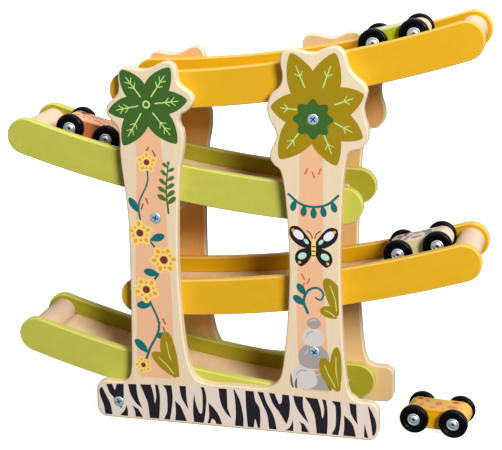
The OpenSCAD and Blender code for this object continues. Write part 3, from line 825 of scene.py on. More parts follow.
def panel_art():
    art = band_art()
    # trunk stripes
    art.append((smooth([(-70.3, 236), (-70.5, 226), (-71, 196), (-72.4, 165), (-74, 131), (-75, 104), (-75.6, 60), (-76.2, 41)], 4)
                + [(-75.6, 37.6), (-73.4, 36)] + [(-50, 36), (-47.8, 37.8)]
                + smooth([(-47.2, 42), (-46.6, 60), (-46.8, 104), (-48, 131), (-48.8, 165), (-49.6, 196), (-51.6, 226), (-52.2, 236)], 4), PEACH))
    art.append((smooth([(51.5, 226), (51.3, 196), (50.6, 165), (49.4, 131), (48.6, 104), (49.8, 60), (51, 42)], 4)
                + [(51.8, 37.6), (54, 35.8)] + [(72.6, 35.8), (74.8, 37.6)]
                + smooth([(74.8, 42), (72.6, 60), (69.6, 104), (68.4, 131), (68.3, 165), (68.4, 196), (68.6, 226)], 4), PEACH))
    # crowns
    rosette(-61.5, 247.5, [(-80.3, 272.2), (-43, 274.8), (-30.6, 251.6), (-39.3, 219.6), (-80.2, 216.6), (-90.6, 241.2)],
            [8.6, 9.0, 8.8, 9.4, 9.2, 8.2], FOREST, LIMELINE, 0.22, art)
    art.append((circle(-61.5, 247.5, 3.0, 28), LIMELINE))
    art.append((circle(-61.5, 247.5, 1.7, 22), FOREST))
    rosette(62.5, 246.5, [(45.6, 287.4), (77, 288.2), (97.2, 259.8), (96.6, 229), (78, 208.6), (37, 211.8), (31, 249.2)],
            [11.0, 11.6, 11.6, 11.4, 11.0, 11.8, 11.4], OLIVE, LIMELINE, 0.42, art)
    pts = []
    for k in range(96):
        a = 2 * math.pi * k / 96
        rr = 13.0 + 1.6 * math.cos(8 * a)
        pts.append((61.3 + rr * math.cos(a), 241.0 + rr * math.sin(a)))
    art.append((pts, FOREST))
    # little ticks scattered down the bark
    for x, z, d in [(-62, 214, 9), (-57, 211.6, -8), (-68, 178, 8), (-63.6, 175.4, -7), (-67.4, 171, 6), (-53.4, 82, -8), (-57.6, 79, 7), (-53.6, 75, -6)]:
        art.append((stroke([(x - 0.12 * d, z - 1.9), (x + 0.12 * d, z + 1.9)], 1.2), RUST))
    for x, z, d in [(56.4, 203.4, 8), (61.4, 201, -7), (66, 203.6, 6), (53.6, 124.6, -8), (57.6, 121.4, 7), (53.8, 117.6, 5)]:
        art.append((stroke([(x - 0.12 * d, z - 1.9), (x + 0.12 * d, z + 1.9)], 1.2), ORDASH))
    # left trunk: a winding stem with blossoms, broad leaves at its foot, a fern high up on the right
    stem = [(-72, 40), (-66, 58), (-57.4, 78), (-65, 104), (-53.4, 128), (-67, 153), (-70, 172), (-62.6, 190), (-63, 205)]
    art.append((stroke(stem, 2.0, 1.2, 8), TEAL))
    leafy(-67, 56, -77, 66, 3.2, TEAL, None, art)
    leafy(-60.4, 70, -50.6, 70.6, 3.0, TEAL, None, art)
    leafy(-62.6, 95.4, -74.4, 93.4, 3.2, TEAL, None, art)
    leafy(-56.4, 119, -68, 121, 3.0, TEAL, None, art)
    leafy(-62, 145.6, -51, 149.4, 3.0, TEAL, None, art)
    leafy(-69.6, 166, -77.4, 177, 2.8, TEAL, None, art)
    flower(-62.8, 204.6, 8.4, art, 5, 0.3)
    flower(-70, 150.4, 10.6, art, 5, 0.4)
    flower(-52, 130.6, 11.6, art, 6, 0.1)
    flower(-66.6, 106.4, 10.8, art, 5, 0.9)
    leafy(-43.6, 38, -52.6, 74, 6.2, OLIVE, LIMELINE, art, bend=2.4)
    leafy(-45.4, 37.4, -63.6, 56.6, 5.4, OLIVE, LIMELINE, art, bend=-1.6)
    sprig([(-47.2, 167), (-48.4, 184), (-46.4, 203)], 10, 8.6, 1.9, FERN, art)
    flower(-71.2, 45.6, 7.4, art, 5, 0.6)
    # right trunk: a garland of leaves, a butterfly, a curled frond, leaves on the right, stones
    gar = [(43.4, 186), (51.6, 179.4), (61.5, 177.4), (71.4, 179.6), (79.4, 186.4)]
    art.append((stroke(gar, 1.8, 1.8, 8), TEAL))
    for gx, gz, tx, tz in [(48, 181.8, 45.8, 173.6), (55, 178.4, 53.8, 170), (61.5, 177.4, 61.6, 168.8), (68, 178.4, 69.4, 170.2), (75, 182, 77.4, 174)]:
        leafy(gx, gz, tx, tz, 2.3, TEAL, None, art)
    bx, bz = 61.5, 146.0
    for sg in (-1, 1):
        up = [(bx + sg * x, bz + z) for x, z in [(0.6, 2), (5, 10), (11.5, 16.4), (17, 15.6), (17.6, 9.6), (13, 3.6), (6, 0.6)]]
        lw = [(bx + sg * x, bz + z) for x, z in [(0.6, 0.6), (7, 0.2), (12.6, -3), (13.6, -9.4), (9.6, -13.6), (5, -10.6), (1.6, -5)]]
        art.append((smooth(ccw(up), 6, closed=True), CHAR))
        art.append((smooth(ccw(lw), 6, closed=True), CHAR))
        art.append((circle(bx + sg * 11.2, bz + 10.2, 4.6, 26, 2.9, sg * 40), WHITE))
        art.append((circle(bx + sg * 5.4, bz + 5.4, 2.4, 20, 1.3, sg * 48), MINT))
        art.append((circle(bx + sg * 8.4, bz - 5.6, 3.4, 24, 2.4, -sg * 30), MINT))
        art.append((circle(bx + sg * 15.2, bz + 13.4, 1.2, 14), ORANGE))
        art.append((circle(bx + sg * 10.4, bz - 10.6, 1.2, 14), ORANGE))
        art.append((stroke([(bx + sg * 0.4, bz + 7), (bx + sg * 2.2, bz + 11.4), (bx + sg * 5.0, bz + 13.6)], 0.8, 0.7), CHAR))
    art.append((petal(bx, bz - 9.5, bx, bz + 8.5, 1.7, base=0.35, top=0.6, n=14), PALEYEL))
    for z in (-5, -1.6, 1.8):
        art.append((stroke([(bx - 1.0, bz + z), (bx + 1.0, bz + z)], 0.9), CHAR))
    art.append((stroke([(57, 97), (54, 106), (57.6, 114.4), (64.4, 116.6), (68.6, 112.4), (66.6, 107.6), (62.8, 109)], 2.2, 1.3, 8), TEAL))
    leafy(54.6, 103, 46.4, 109.6, 2.8, TEAL, None, art)
    leafy(55.4, 110.6, 49.4, 119, 2.6, TEAL, None, art)
    leafy(78.6, 96, 70.4, 124.6, 6.0, OLIVE, LIMELINE, art, bend=-2.2)
    leafy(78.4, 94.4, 66.4, 100.6, 4.4, OLIVE, LIMELINE, art, bend=-1.2)
    for pts, col, hi in [
        ([(58, 38), (66, 37), (75, 38.4), (78.4, 43.6), (75.6, 50.4), (68.4, 53.2), (60.6, 51), (57, 44.6)], STONE2, STONE),
        ([(44.4, 40), (50, 37.4), (58, 37.6), (63.4, 41.4), (63, 49), (57, 55.6), (49.4, 55), (44.6, 48.6)], STONE, STONE2),
        ([(51.4, 56.6), (58, 53.6), (66.4, 54.4), (72.4, 58.8), (72, 66.4), (65.4, 72.4), (56, 72), (50.2, 66)], STONE2, STONE),
        ([(54.6, 73.4), (60, 71), (66.4, 72), (69.4, 77), (67, 83), (60.6, 85.6), (55, 83.4), (52.6, 78)], STONE, STONE2),
        ([(57, 87), (60.6, 84.8), (65, 86), (66.6, 89.6), (63.8, 93.4), (59.6, 93.4), (56.6, 90.6)], STONE2, STONE)]:
        art.append((smooth(ccw(pts), 6, closed=True), col))
        mx = sum(q[0] for q in pts) / len(pts)
        mz = sum(q[1] for q in pts) / len(pts)
        art.append((stroke([(mx + 0.62 * (q[0] - mx), mz + 0.62 * (q[1] - mz)) for q in pts[-3:]], 0.9, 0.6), hi))
    for x, z, d, h in [(45.6, 37.4, -1.6, 12), (48, 37, 0.8, 9), (77.2, 38, -2.2, 15), (74.4, 37.4, -3.4, 10)]:
        art.append((petal(x, z, x + d, z + h, 0.9, base=0.7, top=0.3, n=8, bend=0.6, blunt=0.2), FERN))
    leafy(80.4, 37.4, 78.4, 72, 4.4, OLIVE, LIMELINE, art, bend=1.4)
    leafy(79.4, 37, 67.6, 62.8, 5.4, OLIVE, LIMELINE, art, bend=1.0)
    return [([(x + FOOT_X, z) for x, z in p], c) for p, c in art]


OUT = panel_outline()
ART = panel_art()
# Paint of the panels' inner faces. All of it is painted shade and painted light, not print: bands darken and warm the
# plain wood in the middle where the tracks shade it, blend to paler tones towards the foot and above the crowns, and
# give the right-hand side (x over 35) a lighter, lit tone with a warm glow under the crown.
INSIDE_PAINTED_SHADE = []


def blend_tone(a, b, f):
    return tuple(a[c] + (b[c] - a[c]) * f for c in range(4))


for xa, xb, tone, crown in ((-130, 35, INNER_SHADE_PAINT, INNER_SHADE_PAINT), (35, 130, INNER_PAINTED_LIGHT, INNER_CROWN_PAINTED_LIGHT_SHADE)):
    INSIDE_PAINTED_SHADE.append(([(xa, -5), (xb, -5), (xb, 330), (xa, 330)], tone))
    for j in range(8):
        z0 = 218 + 3 * j
        INSIDE_PAINTED_SHADE.append(([(xa, z0), (xb, z0), (xb, 330), (xa, 330)], blend_tone(tone, crown, (j + 1) / 8)))
    for j in range(8):
        z0 = 262 + 3 * j
        INSIDE_PAINTED_SHADE.append(([(xa, z0), (xb, z0), (xb, 330), (xa, 330)], blend_tone(crown, INNER_TOP_SHADE_PAINT, (j + 1) / 8)))
    for j in range(12):
        z1 = 122 - 92 * (j + 1) / 12
        INSIDE_PAINTED_SHADE.append(([(xa, -5), (xb, -5), (xb, z1), (xa, z1)], blend_tone(tone, INNER_FOOT_SHADE_PAINT, (j + 1) / 12)))
COUNTER = [(circle(x + FOOT_X, z, 4.2, 36), 1.6) for x, z in SCREWS]

# Each panel's inner face carries the painted shade above, left un-inked so the grain still shows.
front = slab(OUT, -DEPTH / 2, -GAP / 2, 1.3, 5, art0=ART, art1=INSIDE_PAINTED_SHADE, pockets0=COUNTER, base=WOOD, edge_col=EDGE, bare=1).object("front_panel_ply", [M_PANEL], WOOD)
rear = slab(OUT, GAP / 2, DEPTH / 2, 1.3, 5, art0=INSIDE_PAINTED_SHADE, art1=ART, pockets1=COUNTER, base=WOOD, edge_col=EDGE, bare=0).object("rear_panel_ply", [M_PANEL], WOOD)
for ob, nd in ((front, "front_panel"), (rear, "rear_panel")):
    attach(ob, "stand"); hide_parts(nd)


# ------------------------------------------------------------------ tracks
def centre(i):
    return TRACK_X[i] - SIDE[i] * R * math.sin(math.radians(PHI)), TRACK_Z[i] + R * math.cos(math.radians(PHI))


def on_arc(i, s, up):
    cx, cz = centre(i)
    a = math.radians(-PHI) + s / R
    return cx - SIDE[i] * (R - up) * math.sin(a), cz - (R - up) * math.cos(a)


def along(i, x, z):
    """Distance along track i and height above its middle line."""
    cx, cz = centre(i)
    a = math.atan2(-SIDE[i] * (x - cx), cz - z)
    return (a + math.radians(PHI)) * R, R - math.hypot(x - cx, z - cz)


def rail_outline(i):
    h = RAIL_H / 2
    q = [on_arc(i, TLEN * k / 40, h) for k in range(41)]
    a1 = math.radians(-PHI) + TLEN / R
    c1, c0 = on_arc(i, TLEN, 0), on_arc(i, 0, 0)
    for k in range(1, 16):
        b = math.pi * k / 16
        ds, up = h * math.sin(b), h * math.cos(b)
        q.append((c1[0] - SIDE[i] * (ds * math.cos(a1) - up * math.sin(a1)), c1[1] + ds * math.sin(a1) + up * math.cos(a1)))
    q += [on_arc(i, TLEN * k / 40, -h) for k in range(40, -1, -1)]
    a0 = math.radians(-PHI)
    for k in range(1, 16):
        b = math.pi * k / 16
        ds, up = -h * math.sin(b), -h * math.cos(b)
        q.append((c0[0] - SIDE[i] * (ds * math.cos(a0) - up * math.sin(a0)), c0[1] + ds * math.sin(a0) + up * math.cos(a0)))
    return q


def floor_outline(i, s0, s1, lo, hi, n=40):
    h, mid = (hi - lo) / 2, (hi + lo) / 2
    e = s1 - h
    q = [on_arc(i, s0 + (e - s0) * k / n, hi) for k in range(n + 1)]
    for k in range(1, 9):
        b = math.pi * k / 9
        q.append(on_arc(i, e + h * math.sin(b), mid + h * math.cos(b)))
    q += [on_arc(i, s0 + (e - s0) * k / n, lo) for k in range(n, -1, -1)]
    return q


for i, t in enumerate(TRACKS):
    grain = lambda x, y, z, i=i: (along(i, x, z)[0], y, along(i, x, z)[1])
    groove = [(floor_outline(i, 8.0, FLOOR_END + 0.4, FLOOR_UP - FLOOR_T, FLOOR_UP + 0.4, 30), GROOVE)]
    mat = M_YELLOW if SIDE[i] > 0 else M_LIME
    slot = "honey_paint" if SIDE[i] > 0 else "lime_paint"
    ro = rail_outline(i)
    # the whole outline of the rail's channel-facing face is marked as art, so that face takes the paint's darker fourth
    # colour: painted shade
    fr = slab(ro, -RAIL_Y, -CHAN_Y, 1.2, 4, art1=[(ro, WOOD)], pockets1=groove, grain=grain).object(f"{t}_rail_front", [mat])
    rr = slab(ro, CHAN_Y, RAIL_Y, 1.2, 4, art0=[(ro, WOOD)], pockets0=groove, grain=grain).object(f"{t}_rail_rear", [mat])
    fl = slab(floor_outline(i, 10.3, FLOOR_END, FLOOR_UP - FLOOR_T, FLOOR_UP), -CHAN_Y - GROOVE + 0.2, CHAN_Y + GROOVE - 0.2, 0.3, 2, grain=grain).object(f"{t}_floor_board", [M_FLOOR])
    dw = slab(circle(TRACK_X[i], TRACK_Z[i], 10.0, 72), -CHAN_Y, CHAN_Y, 0.4, 3, grain=lambda x, y, z, i=i: (x - TRACK_X[i], y, z - TRACK_Z[i] + 100 * i)).object(f"{t}_dowel_round", [M_DOWEL])
    for ob, nd, sl in ((fr, f"{t}_track_front_rail", slot), (rr, f"{t}_track_rear_rail", slot), (fl, f"{t}_track_floor", "bare_birch"), (dw, f"{t}_track_stop_dowel", "bare_birch")):
        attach(ob, "stand"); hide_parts(nd)
    pg = nodes[f"{t}_track_pegs"]
    pg.data.materials.clear(); pg.data.materials.append(M_CADWOOD)

for nm, (x, z) in zip(("crown", "trunk", "knee", "foot"), SCREWS):
    ob = slab(circle(x + FOOT_X, z, 8.0, 56), -GAP / 2, GAP / 2, 0.5, 3, grain=lambda a, y, c, x=x, z=z: (a - x, y + 7 * x, c)).object(f"{nm}_spacer_round", [M_DOWEL])
    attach(ob, "stand"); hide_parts(f"{nm}_spacer")


# ------------------------------------------------------------------ screws
def screw_head(x, z, side, name):
    """A low head with a cross recess, flush in its counterbore; side -1 is the front."""
    def plus(a, w, l):
        p = [(w, w), (w, l), (-w, l), (-w, w), (-l, w), (-l, -w), (-w, -w), (-w, -l), (w, -l), (w, -w), (l, -w), (l, w)]
        c, s = math.cos(a), math.sin(a)
        return [(x + u * c - v * s, z + u * s + v * c) for u, v in p]
    # the cross recess takes the darker recess material (slot 1): painted shade
    rec = [(plus(math.radians(38 if side < 0 else 12) + 0.3 * x, 0.5, 2.3), 0.9)]
    ring = [[(x + rr * math.cos(2 * math.pi * k / 40), z + rr * math.sin(2 * math.pi * k / 40)) for k in range(41)] for rr in (2.7, 3.2)]
    y = -DEPTH / 2 if side < 0 else DEPTH / 2
    if side < 0:
        b = slab(circle(x, z, 4.0, 48), y - 0.3, y + 1.5, 0.8, 5, pockets0=rec, lines0=ring, pocket_mi=1)
    else:
        b = slab(circle(x, z, 4.0, 48), y - 1.5, y + 0.3, 0.8, 5, pockets1=rec, lines1=ring, pocket_mi=1)
    return b.object(name, [M_ZINC, M_RECESS_SHADE])


for side, nd in ((-1, "front_screws"), (1, "rear_screws")):
    heads = [screw_head(x + FOOT_X, z, side, f"{nd}_head_{k}") for k, (x, z) in enumerate(SCREWS)]
    for k, h in enumerate(heads):
        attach(h, "stand")
    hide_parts(nd)


# ------------------------------------------------------------------ cars
def stadium(u):
    """Point and normal of the block's profile at distance u from the middle of its top, to the right."""
    r, s = BODY_H / 2, (BODY_L - BODY_H) / 2
    per = 4 * s + 2 * math.pi * r
    u = u % per
    if u <= s:
        return u, r, 0.0, 1.0
    u -= s
    if u <= math.pi * r:
        a = math.pi / 2 - u / r
        return s + r * math.cos(a), r * math.sin(a), math.cos(a), math.sin(a)
    u -= math.pi * r
    if u <= 2 * s:
        return s - u, -r, 0.0, -1.0
    u -= 2 * s
    if u <= math.pi * r:
        a = -math.pi / 2 - u / r
        return -s + r * math.cos(a), r * math.sin(a), math.cos(a), math.sin(a)
    u -= math.pi * r
    return -s + u, r, 0.0, 1.0


PER = 2 * (BODY_L - BODY_H) + math.pi * BODY_H


def car_body(art, base, edge_col, r=0.9):
    """The wooden block: printed all round its profile, plain on its two sides."""
    b = Build()
    half = PER / 2
    us = []
    s = (BODY_L - BODY_H) / 2
    n_st, n_arc = 10, 20
    q = [s * k / n_st for k in range(n_st)] + [s + math.pi * BODY_H / 2 * k / n_arc for k in range(n_arc)] + [s + math.pi * BODY_H / 2 + s * k / n_st for k in range(n_st)] + [half]
    us = [-x for x in q[::-1]][:-1] + q
    w = BODY_W / 2 - r
    m = len(us)
    bound = [(u, -w) for u in us] + [(u, w) for u in us[::-1]]
    cols = [[(u, -w), (u, w)] for u in us[1:-1]]
    pts, tris, _, _ = tessellate(bound, art, [], cols)
    vid = {}

    def vtx(i):
        if i not in vid:
            u, v = pts[i]
            x, z, nx, nz = stadium(u)
            vid[i] = b.vert((x, v, z), (nx, 0, nz), (x, v, z))
        return vid[i]

    for f, a in tris:
        b.face([vtx(i) for i in f], art[a][1] if a >= 0 else base, 1.0, 0.0)
    # rounded edges and plain sides
    for sg in (-1, 1):
        rows = []
        for k in range(5):
            th = math.pi / 2 * k / 4
            row = []
            for u in us[:-1]:
                x, z, nx, nz = stadium(u)
                ins, y = r * (1 - math.cos(th)), sg * (w + r * math.sin(th))
                row.append(b.vert((x - nx * ins, y, z - nz * ins), (nx * math.cos(th), sg * math.sin(th), nz * math.cos(th)), (x, y, z)))
            rows.append(row)
        n = len(rows[0])
        for k in range(4):
            for i in range(n):
                j = (i + 1) % n
                fc = (rows[k][i], rows[k][j], rows[k + 1][j], rows[k + 1][i])
                b.face(fc if sg > 0 else fc[::-1], edge_col, 0.6 if k < 2 else 0.25, 1.0)
        cap = [b.vert((b.v[i][0], b.v[i][1], b.v[i][2]), (0, sg, 0), b.v[i]) for i in rows[-1]]
        b.face(cap if sg > 0 else cap[::-1], base, 0.0, 0.0)
    return b


def car_frame(kind, i=None, s=None):
    """Matrix from a car's own frame (millimetres, +X its front) to the row frame."""
    if kind == "floor":
        return Matrix.Translation(Vector((146.4, -6, WHEEL_R))) @ Matrix.Rotation(math.radians(-6), 4, "Z")
    cx, cz = centre(i)
    a = -PHI + math.degrees(s / R)
    cr = math.sqrt((R - AXLE_UP) ** 2 - (WBASE / 2) ** 2)
    m = Matrix.Rotation(math.radians(-a), 4, "Y") @ Matrix.Translation(Vector((0, 0, -cr)))
    if SIDE[i] > 0:
        flip = Matrix.Scale(-1, 4, Vector((1, 0, 0)))
        m = flip @ m @ flip
        # the front of a car on these tracks points to the left
        m = m @ Matrix.Rotation(math.pi, 4, "Z")
    return Matrix.Translation(Vector((cx, 0, cz))) @ m


def place(ob, m):
    s = Matrix.Scale(MM, 4)
    ob.data.transform(s @ m @ s.inverted())
    return ob


WHEEL_PROFILE = [(1.55, -2.75), (9.3, -2.75), (10.0, -2.62), (10.55, -2.2), (10.82, -1.6), (10.9, -0.9), (10.9, 0.6), (10.8, 1.4), (10.5, 2.1),
                 (10.0, 2.55), (9.4, 2.75), (8.4, 2.75), (8.0, 2.68), (7.75, 2.45), (7.55, 1.95), (7.3, 1.68), (6.9, 1.56), (6.0, 1.5), (1.55, 1.5), (1.55, -2.75)]
CAP_PROFILE = [(1.55, 1.8), (4.65, 1.8), (4.8, 1.95), (4.8, 2.18), (4.68, 2.38), (4.42, 2.52), (4.0, 2.55), (3.7, 2.46), (3.5, 2.3), (3.28, 2.28), (3.1, 2.42),
               (2.95, 2.68), (2.7, 2.9), (2.2, 3.06), (1.75, 3.15), (1.4, 3.15), (1.15, 3.06), (0.92, 2.88), (0.6, 2.64), (0.25, 2.58), (0.0, 2.57)]


def spots_oval(seeds):
    return [(circle(u, v, a, 24, b, rot), col) for u, v, a, b, rot, col in seeds]


# the four prints: u along the wrap-round profile from the middle of the top, v across
LEO_DARK, LEO_MID, LEO_SOFT = lin(116, 62, 36), lin(170, 96, 66), lin(188, 128, 118)
leo = []
for u, v, ln, w, rot, col in [
        (-12.0, 7.6, 4.6, 2.0, 8, LEO_DARK), (-12.8, 4.6, 2.2, 1.2, -30, LEO_DARK), (-6.2, 8.9, 3.6, 1.1, 0, LEO_MID), (-4.5, 4.0, 3.0, 1.3, -12, LEO_MID), (-9.3, -4.6, 2.6, 1.1, 10, LEO_MID),
        (-9.6, 0.6, 2.2, 1.1, 20, LEO_MID), (-4.8, -3.1, 2.4, 1.0, -8, LEO_SOFT), (0.7, 4.2, 4.2, 1.2, 6, LEO_SOFT), (1.7, -2.7, 4.2, 1.5, -4, LEO_SOFT), (0.4, 8.6, 2.6, 1.0, 0, LEO_SOFT),
        (5.8, 8.3, 3.2, 1.1, 5, LEO_SOFT), (7.6, 1.5, 4.0, 1.2, 8, LEO_SOFT), (6.4, -6.0, 3.2, 1.2, -6, LEO_SOFT), (12.2, 5.6, 3.0, 1.1, 0, LEO_SOFT), (14.7, 1.6, 3.4, 1.2, 6, LEO_SOFT),
        (13.2, -4.4, 3.4, 1.2, -10, LEO_SOFT), (-15.6, -1.2, 2.6, 1.2, 12, LEO_DARK), (-2.4, -8.0, 3.0, 1.0, 0, LEO_SOFT), (-18.4, 6.6, 3.0, 1.4, 0, LEO_DARK), (-19.6, -5.8, 2.8, 1.2, 14, LEO_MID),
        (20.2, 7.0, 3.0, 1.1, 0, LEO_SOFT), (21.4, -1.6, 3.2, 1.2, 8, LEO_SOFT), (26.4, 3.2, 3.0, 1.2, -8, LEO_MID), (27.0, -6.4, 2.8, 1.1, 0, LEO_SOFT), (-25.6, 1.4, 3.0, 1.3, 8, LEO_MID),
        (-27.4, -6.8, 2.8, 1.2, 0, LEO_DARK), (-31.4, 6.2, 3.2, 1.3, -8, LEO_MID), (33.4, 7.2, 3.0, 1.2, 0, LEO_MID), (34.0, -1.8, 3.2, 1.2, 8, LEO_SOFT), (-35.8, -2.4, 3.0, 1.3, 6, LEO_MID),
        (41.2, 4.4, 3.0, 1.2, -6, LEO_MID), (42.0, -5.6, 3.0, 1.2, 0, LEO_SOFT), (-43.6, 4.8, 3.0, 1.3, 4, LEO_MID), (-44.8, -5.2, 2.8, 1.2, 0, LEO_MID), (50.0, 0.4, 3.0, 1.2, 0, LEO_MID)]:
    c, s = math.cos(math.radians(rot)) * ln / 2, math.sin(math.radians(rot)) * ln / 2
    leo.append((stroke([(u - c, v - s), (u, v + 0.25 * w), (u + c, v + s)], 1.9 * w, 1.5 * w, 4), col))
ZEB, ZEB2 = lin(132, 126, 138), lin(116, 110, 122)
zeb = []
for path, w0, w1, col in [
        ([(8.6, 7.6), (7.4, 3.4), (5.0, -2.1)], 2.6, 1.4, ZEB), ([(2.4, -6.6), (0.2, -5.4), (-2.0, -5.0)], 3.4, 1.6, ZEB), ([(1.0, 6.6), (-1.3, 6.0), (-3.6, 6.2)], 4.2, 1.8, ZEB),
        ([(-5.6, -6.4), (-7.6, -3.6), (-8.6, 0.4), (-7.6, 3.8)], 5.4, 3.0, ZEB), ([(-12.6, 7.4), (-13.2, 4.2), (-12.6, 1.0)], 2.2, 1.0, ZEB), ([(14.4, -4.6), (13.6, 0.2), (14.8, 4.6)], 3.4, 1.8, ZEB),
        ([(9.4, -8.0), (10.0, -5.0), (9.2, -2.2)], 2.8, 1.2, ZEB2), ([(19.6, 8.4), (20.4, 4.2), (19.2, 0.4)], 2.2, 0.8, ZEB), ([(20.8, -8.4), (21.4, -5.0), (23.2, -2.0)], 2.4, 0.9, ZEB),
        ([(26.6, 8.2), (27.2, 3.8), (26.0, -0.8)], 2.4, 0.9, ZEB), ([(30.4, -8.4), (30.8, -3.6), (32.2, 0.6)], 2.4, 0.9, ZEB), ([(36.4, 8.4), (35.8, 4.0), (37.0, 0.2)], 2.2, 0.9, ZEB),
        ([(39.6, -8.4), (40.4, -4.6), (39.6, -1.2)], 2.2, 0.9, ZEB), ([(45.4, 8.4), (46.2, 3.4), (45.2, -1.8)], 2.4, 0.9, ZEB), ([(49.6, -8.4), (50.2, -4.2), (49.4, 0.4)], 2.2, 0.9, ZEB),
        ([(-43.8, -8.4), (-44.6, -3.6), (-43.6, 1.2)], 2.2, 0.9, ZEB), ([(-39.4, 8.4), (-38.8, 3.8), (-40.0, -0.4)], 2.2, 0.9, ZEB), ([(-50.4, 8.2), (-49.8, 3.4), (-50.6, -1.0)], 2.2, 0.9, ZEB)]:
    zeb.append((stroke(path, 1.3 * w0, 1.3 * w1, 5), col))
OV_PINK, OV_BROWN, OV_DARK, OV_SAND = lin(206, 128, 96), lin(184, 104, 30), lin(158, 84, 22), lin(204, 152, 100)
oval = spots_oval([
    (0.3, 1.2, 2.8, 3.9, 0, OV_PINK), (-15.0, 7.2, 2.1, 1.8, 0, OV_DARK), (-8.8, 4.0, 1.9, 2.5, 30, OV_PINK), (11.9, 6.5, 3.1, 1.9, 0, OV_BROWN), (11.4, -2.7, 4.2, 2.7, 0, OV_PINK),
    (-2.4, -7.4, 2.6, 1.8, 0, OV_PINK), (-11.9, -4.6, 2.3, 2.1, 0, OV_PINK), (-1.1, 8.4, 2.9, 1.0, 0, OV_SAND), (5.2, -7.8, 1.6, 1.2, 0, OV_SAND), (-18.6, -0.6, 1.9, 2.4, 0, OV_BROWN),
    (-22.8, -6.4, 2.2, 2.0, 0, OV_BROWN), (-23.8, 5.4, 2.0, 2.6, 0, OV_DARK), (-29.4, 0.4, 2.6, 2.4, 0, OV_BROWN), (-35.2, 6.2, 2.2, 2.0, 0, OV_BROWN), (-36.4, -5.4, 2.6, 2.2, 0, OV_BROWN),
    (-43.0, 1.6, 2.8, 2.4, 0, OV_PINK), (-49.0, -6.0, 2.2, 2.0, 0, OV_BROWN), (-49.6, 6.4, 2.0, 1.8, 0, OV_PINK), (33.4, -6.6, 2.2, 2.0, 0, OV_SAND), (34.6, 3.6, 2.6, 2.6, 0, OV_PINK),
    (41.0, -2.2, 2.4, 2.4, 0, OV_PINK), (44.6, 6.4, 2.2, 1.8, 0, OV_BROWN), (49.4, -5.8, 2.2, 2.0, 0, OV_PINK), (27.0, 6.8, 2.0, 1.6, 0, OV_SAND)])
CARS = [
    ("green", car_frame("track", 0, 50.6), [], lin(206, 202, 158), lin(210, 206, 160), mat_car("green_block", lin(172, 182, 34), lin(154, 165, 22)), "green_paint"),
    ("orange", car_frame("track", 1, 42.5), leo, lin(246, 186, 144), lin(245, 184, 142), mat_car("orange_block", lin(230, 138, 80), lin(212, 118, 60)), "orange_paint"),
    ("cream", car_frame("track", 2, 32.6), zeb, lin(228, 211, 188), lin(228, 211, 188), mat_car("cream_block", lin(218, 208, 160), lin(202, 190, 138)), "cream_paint"),
    ("yellow", car_frame("floor"), oval, lin(226, 178, 84), lin(225, 177, 82), mat_car("yellow_block", lin(234, 177, 22), lin(214, 157, 14)), "amber_paint"),
]
for c, m, art, base, edge_col, mat, slot in CARS:
    art = [(p, col) for p, col in art if all(abs(u) < PER / 2 - 0.3 and abs(v) < BODY_W / 2 - 0.95 for u, v in p)]
    bo = place(car_body(art, base, edge_col).object(f"{c}_block", [mat]), m)
    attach(bo, f"{c}_car"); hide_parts(f"{c}_car_body")
    ax = nodes[f"{c}_car_axles"]
    ax.data.materials.clear(); ax.data.materials.append(M_STEEL)
    first = None
    for sx, fx in ((1, "front"), (-1, "rear")):
        for sy, fy in ((-1, "near"), (1, "far")):
            # "near" is the viewer's side of the toy, also for the cars that face left
            yy = sy
            turn = m.to_3x3() @ Vector((0, 1, 0))
            if turn.y < 0:
                yy = -sy
            loc = Matrix.Translation(Vector((sx * WBASE / 2, yy * WHEEL_Y, 0)))
            spin = Matrix.Rotation(0.7 * sx + 0.4 * sy, 4, "Y")
            face = Matrix.Rotation(math.pi, 4, "Z") if yy < 0 else Matrix.Identity(4)
            wh = place(lathe(WHEEL_PROFILE, 56, sharp=(0, 18, 19)).object(f"{c}_tyre_{fx}_{fy}", [M_BLACK]), m @ loc @ face @ spin)
            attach(wh, f"{c}_car_wheel_{fx}_{fy}"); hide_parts(f"{c}_car_wheel_{fx}_{fy}")
            # from profile point 16 inwards, the cap's central dimple takes the dark material: painted shade
            cp = place(lathe(CAP_PROFILE, 44, sharp=(0, 1), mi_from=16).object(f"{c}_cap_{fx}_{fy}", [M_CAP, M_PIT_SHADE]), m @ loc @ face)
            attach(cp, f"{c}_car")
            if first is None:
                first = cp
    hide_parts(f"{c}_car_axle_caps")

# ------------------------------------------------------------------ stage, light and camera
bpy.ops.mesh.primitive_plane_add(size=8, location=(0, 1.0, -0.0003))
floor = bpy.context.object
floor.name = "stage_floor"
k = Mat("stage_white")
vec = k.node("ShaderNodeTexCoord").outputs["Object"]
n = k.noise(vec, 6, (1, 1, 1), 2.0)
white = k.mix(k.ramp(n, 0.3, 0.7), (0.90, 0.90, 0.90, 1), (0.93, 0.93, 0.93, 1))
ln = k.node("ShaderNodeVectorMath", operation="LENGTH")
sub = k.node("ShaderNodeVectorMath", operation="SUBTRACT")
sub.inputs[1].default_value = (0.0, -1.0, 0.0)
k.link(vec, sub.inputs[0])
k.link(sub.outputs[0], ln.inputs[0])
seen = k.node("ShaderNodeLightPath").outputs["Is Camera Ray"]
k.link(k.math("MULTIPLY", seen, k.ramp(ln.outputs["Value"], 0.35, 1.3, 0.84, 0.98)), k.b.inputs["Emission Strength"])
k.link(k.mix(seen, (0.14, 0.14, 0.14, 1), white), k.b.inputs["Base Color"])
k.set(Roughness=0.8)
k.b.inputs["Emission Color"].default_value = (1, 1, 1, 1)
floor.data.materials.append(k.m)

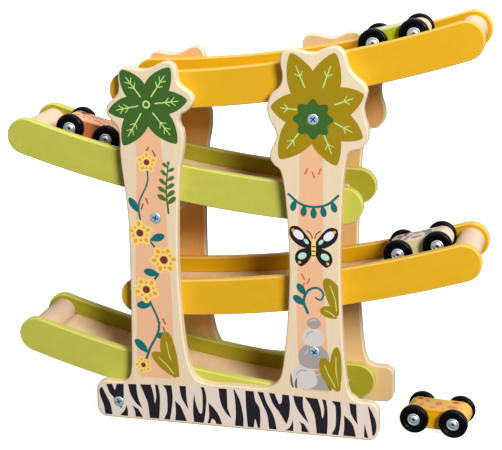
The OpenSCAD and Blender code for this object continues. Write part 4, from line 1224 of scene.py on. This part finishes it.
world = bpy.data.worlds.new("studio")
bpy.context.scene.world = world
world.use_nodes = True
wt = world.node_tree
wt.nodes.clear()
wo = wt.nodes.new("ShaderNodeOutputWorld")
mixs = wt.nodes.new("ShaderNodeMixShader")
lp = wt.nodes.new("ShaderNodeLightPath")
bg1 = wt.nodes.new("ShaderNodeBackground")
bg1.inputs[0].default_value = (1.0, 0.88, 0.72, 1)
bg1.inputs[1].default_value = 0.11
bg2 = wt.nodes.new("ShaderNodeBackground")
bg2.inputs[0].default_value = (1, 1, 1, 1)
bg2.inputs[1].default_value = 1.0
bg3 = wt.nodes.new("ShaderNodeBackground")
bg3.inputs[0].default_value = (0.9, 0.96, 1.0, 1)
bg3.inputs[1].default_value = 0.8
mixg = wt.nodes.new("ShaderNodeMixShader")
wt.links.new(lp.outputs["Is Glossy Ray"], mixg.inputs[0])
wt.links.new(bg1.outputs[0], mixg.inputs[1])
wt.links.new(bg3.outputs[0], mixg.inputs[2])
wt.links.new(lp.outputs["Is Camera Ray"], mixs.inputs[0])
wt.links.new(mixg.outputs[0], mixs.inputs[1])
wt.links.new(bg2.outputs[0], mixs.inputs[2])
wt.links.new(mixs.outputs[0], wo.inputs[0])


def area(name, loc, target, size, power, col=(1, 1, 1)):
    l = bpy.data.lights.new(name, "AREA")
    l.shape = "DISK"
    l.size = size
    l.energy = power
    l.color = col
    o = bpy.data.objects.new(name, l)
    bpy.context.scene.collection.objects.link(o)
    o.location = loc
    o.rotation_euler = (Vector(target) - Vector(loc)).to_track_quat("-Z", "Y").to_euler()
    return o


area("key", (1.85, -2.06, 1.76), (0, 0, 0.15), 1.1, 120, (1.0, 1.0, 1.0))
area("back", (-0.95, 2.7, 0.46), (0, 0, 0.15), 1.0, 40, (1.0, 1.0, 1.0)).visible_glossy = False
area("top", (0.35, -0.15, 2.0), (0, 0, 0.14), 1.1, 24, (1.0, 1.0, 1.0))

cam = bpy.data.cameras.new("camera")
co = bpy.data.objects.new("camera", cam)
bpy.context.scene.collection.objects.link(co)
right = Vector((0.96869, 0.24782, -0.01510)).normalized()
up = Vector((-0.05446, 0.27141, 0.96092)).normalized()
back = right.cross(up).normalized()
up = back.cross(right).normalized()
rot = Matrix((right, up, back)).transposed()
co.matrix_world = Matrix.Translation(Vector((0.26064, -0.99472, 0.44487))) @ rot.to_4x4()
cam.sensor_fit = "HORIZONTAL"
cam.sensor_width = 36.0
cam.lens = 1415.34 / 502.0 * 36.0
cam.clip_start, cam.clip_end = 0.05, 50
bpy.context.scene.camera = co
bpy.context.scene.view_settings.view_transform = "Standard"
bpy.context.scene.view_settings.look = "None"
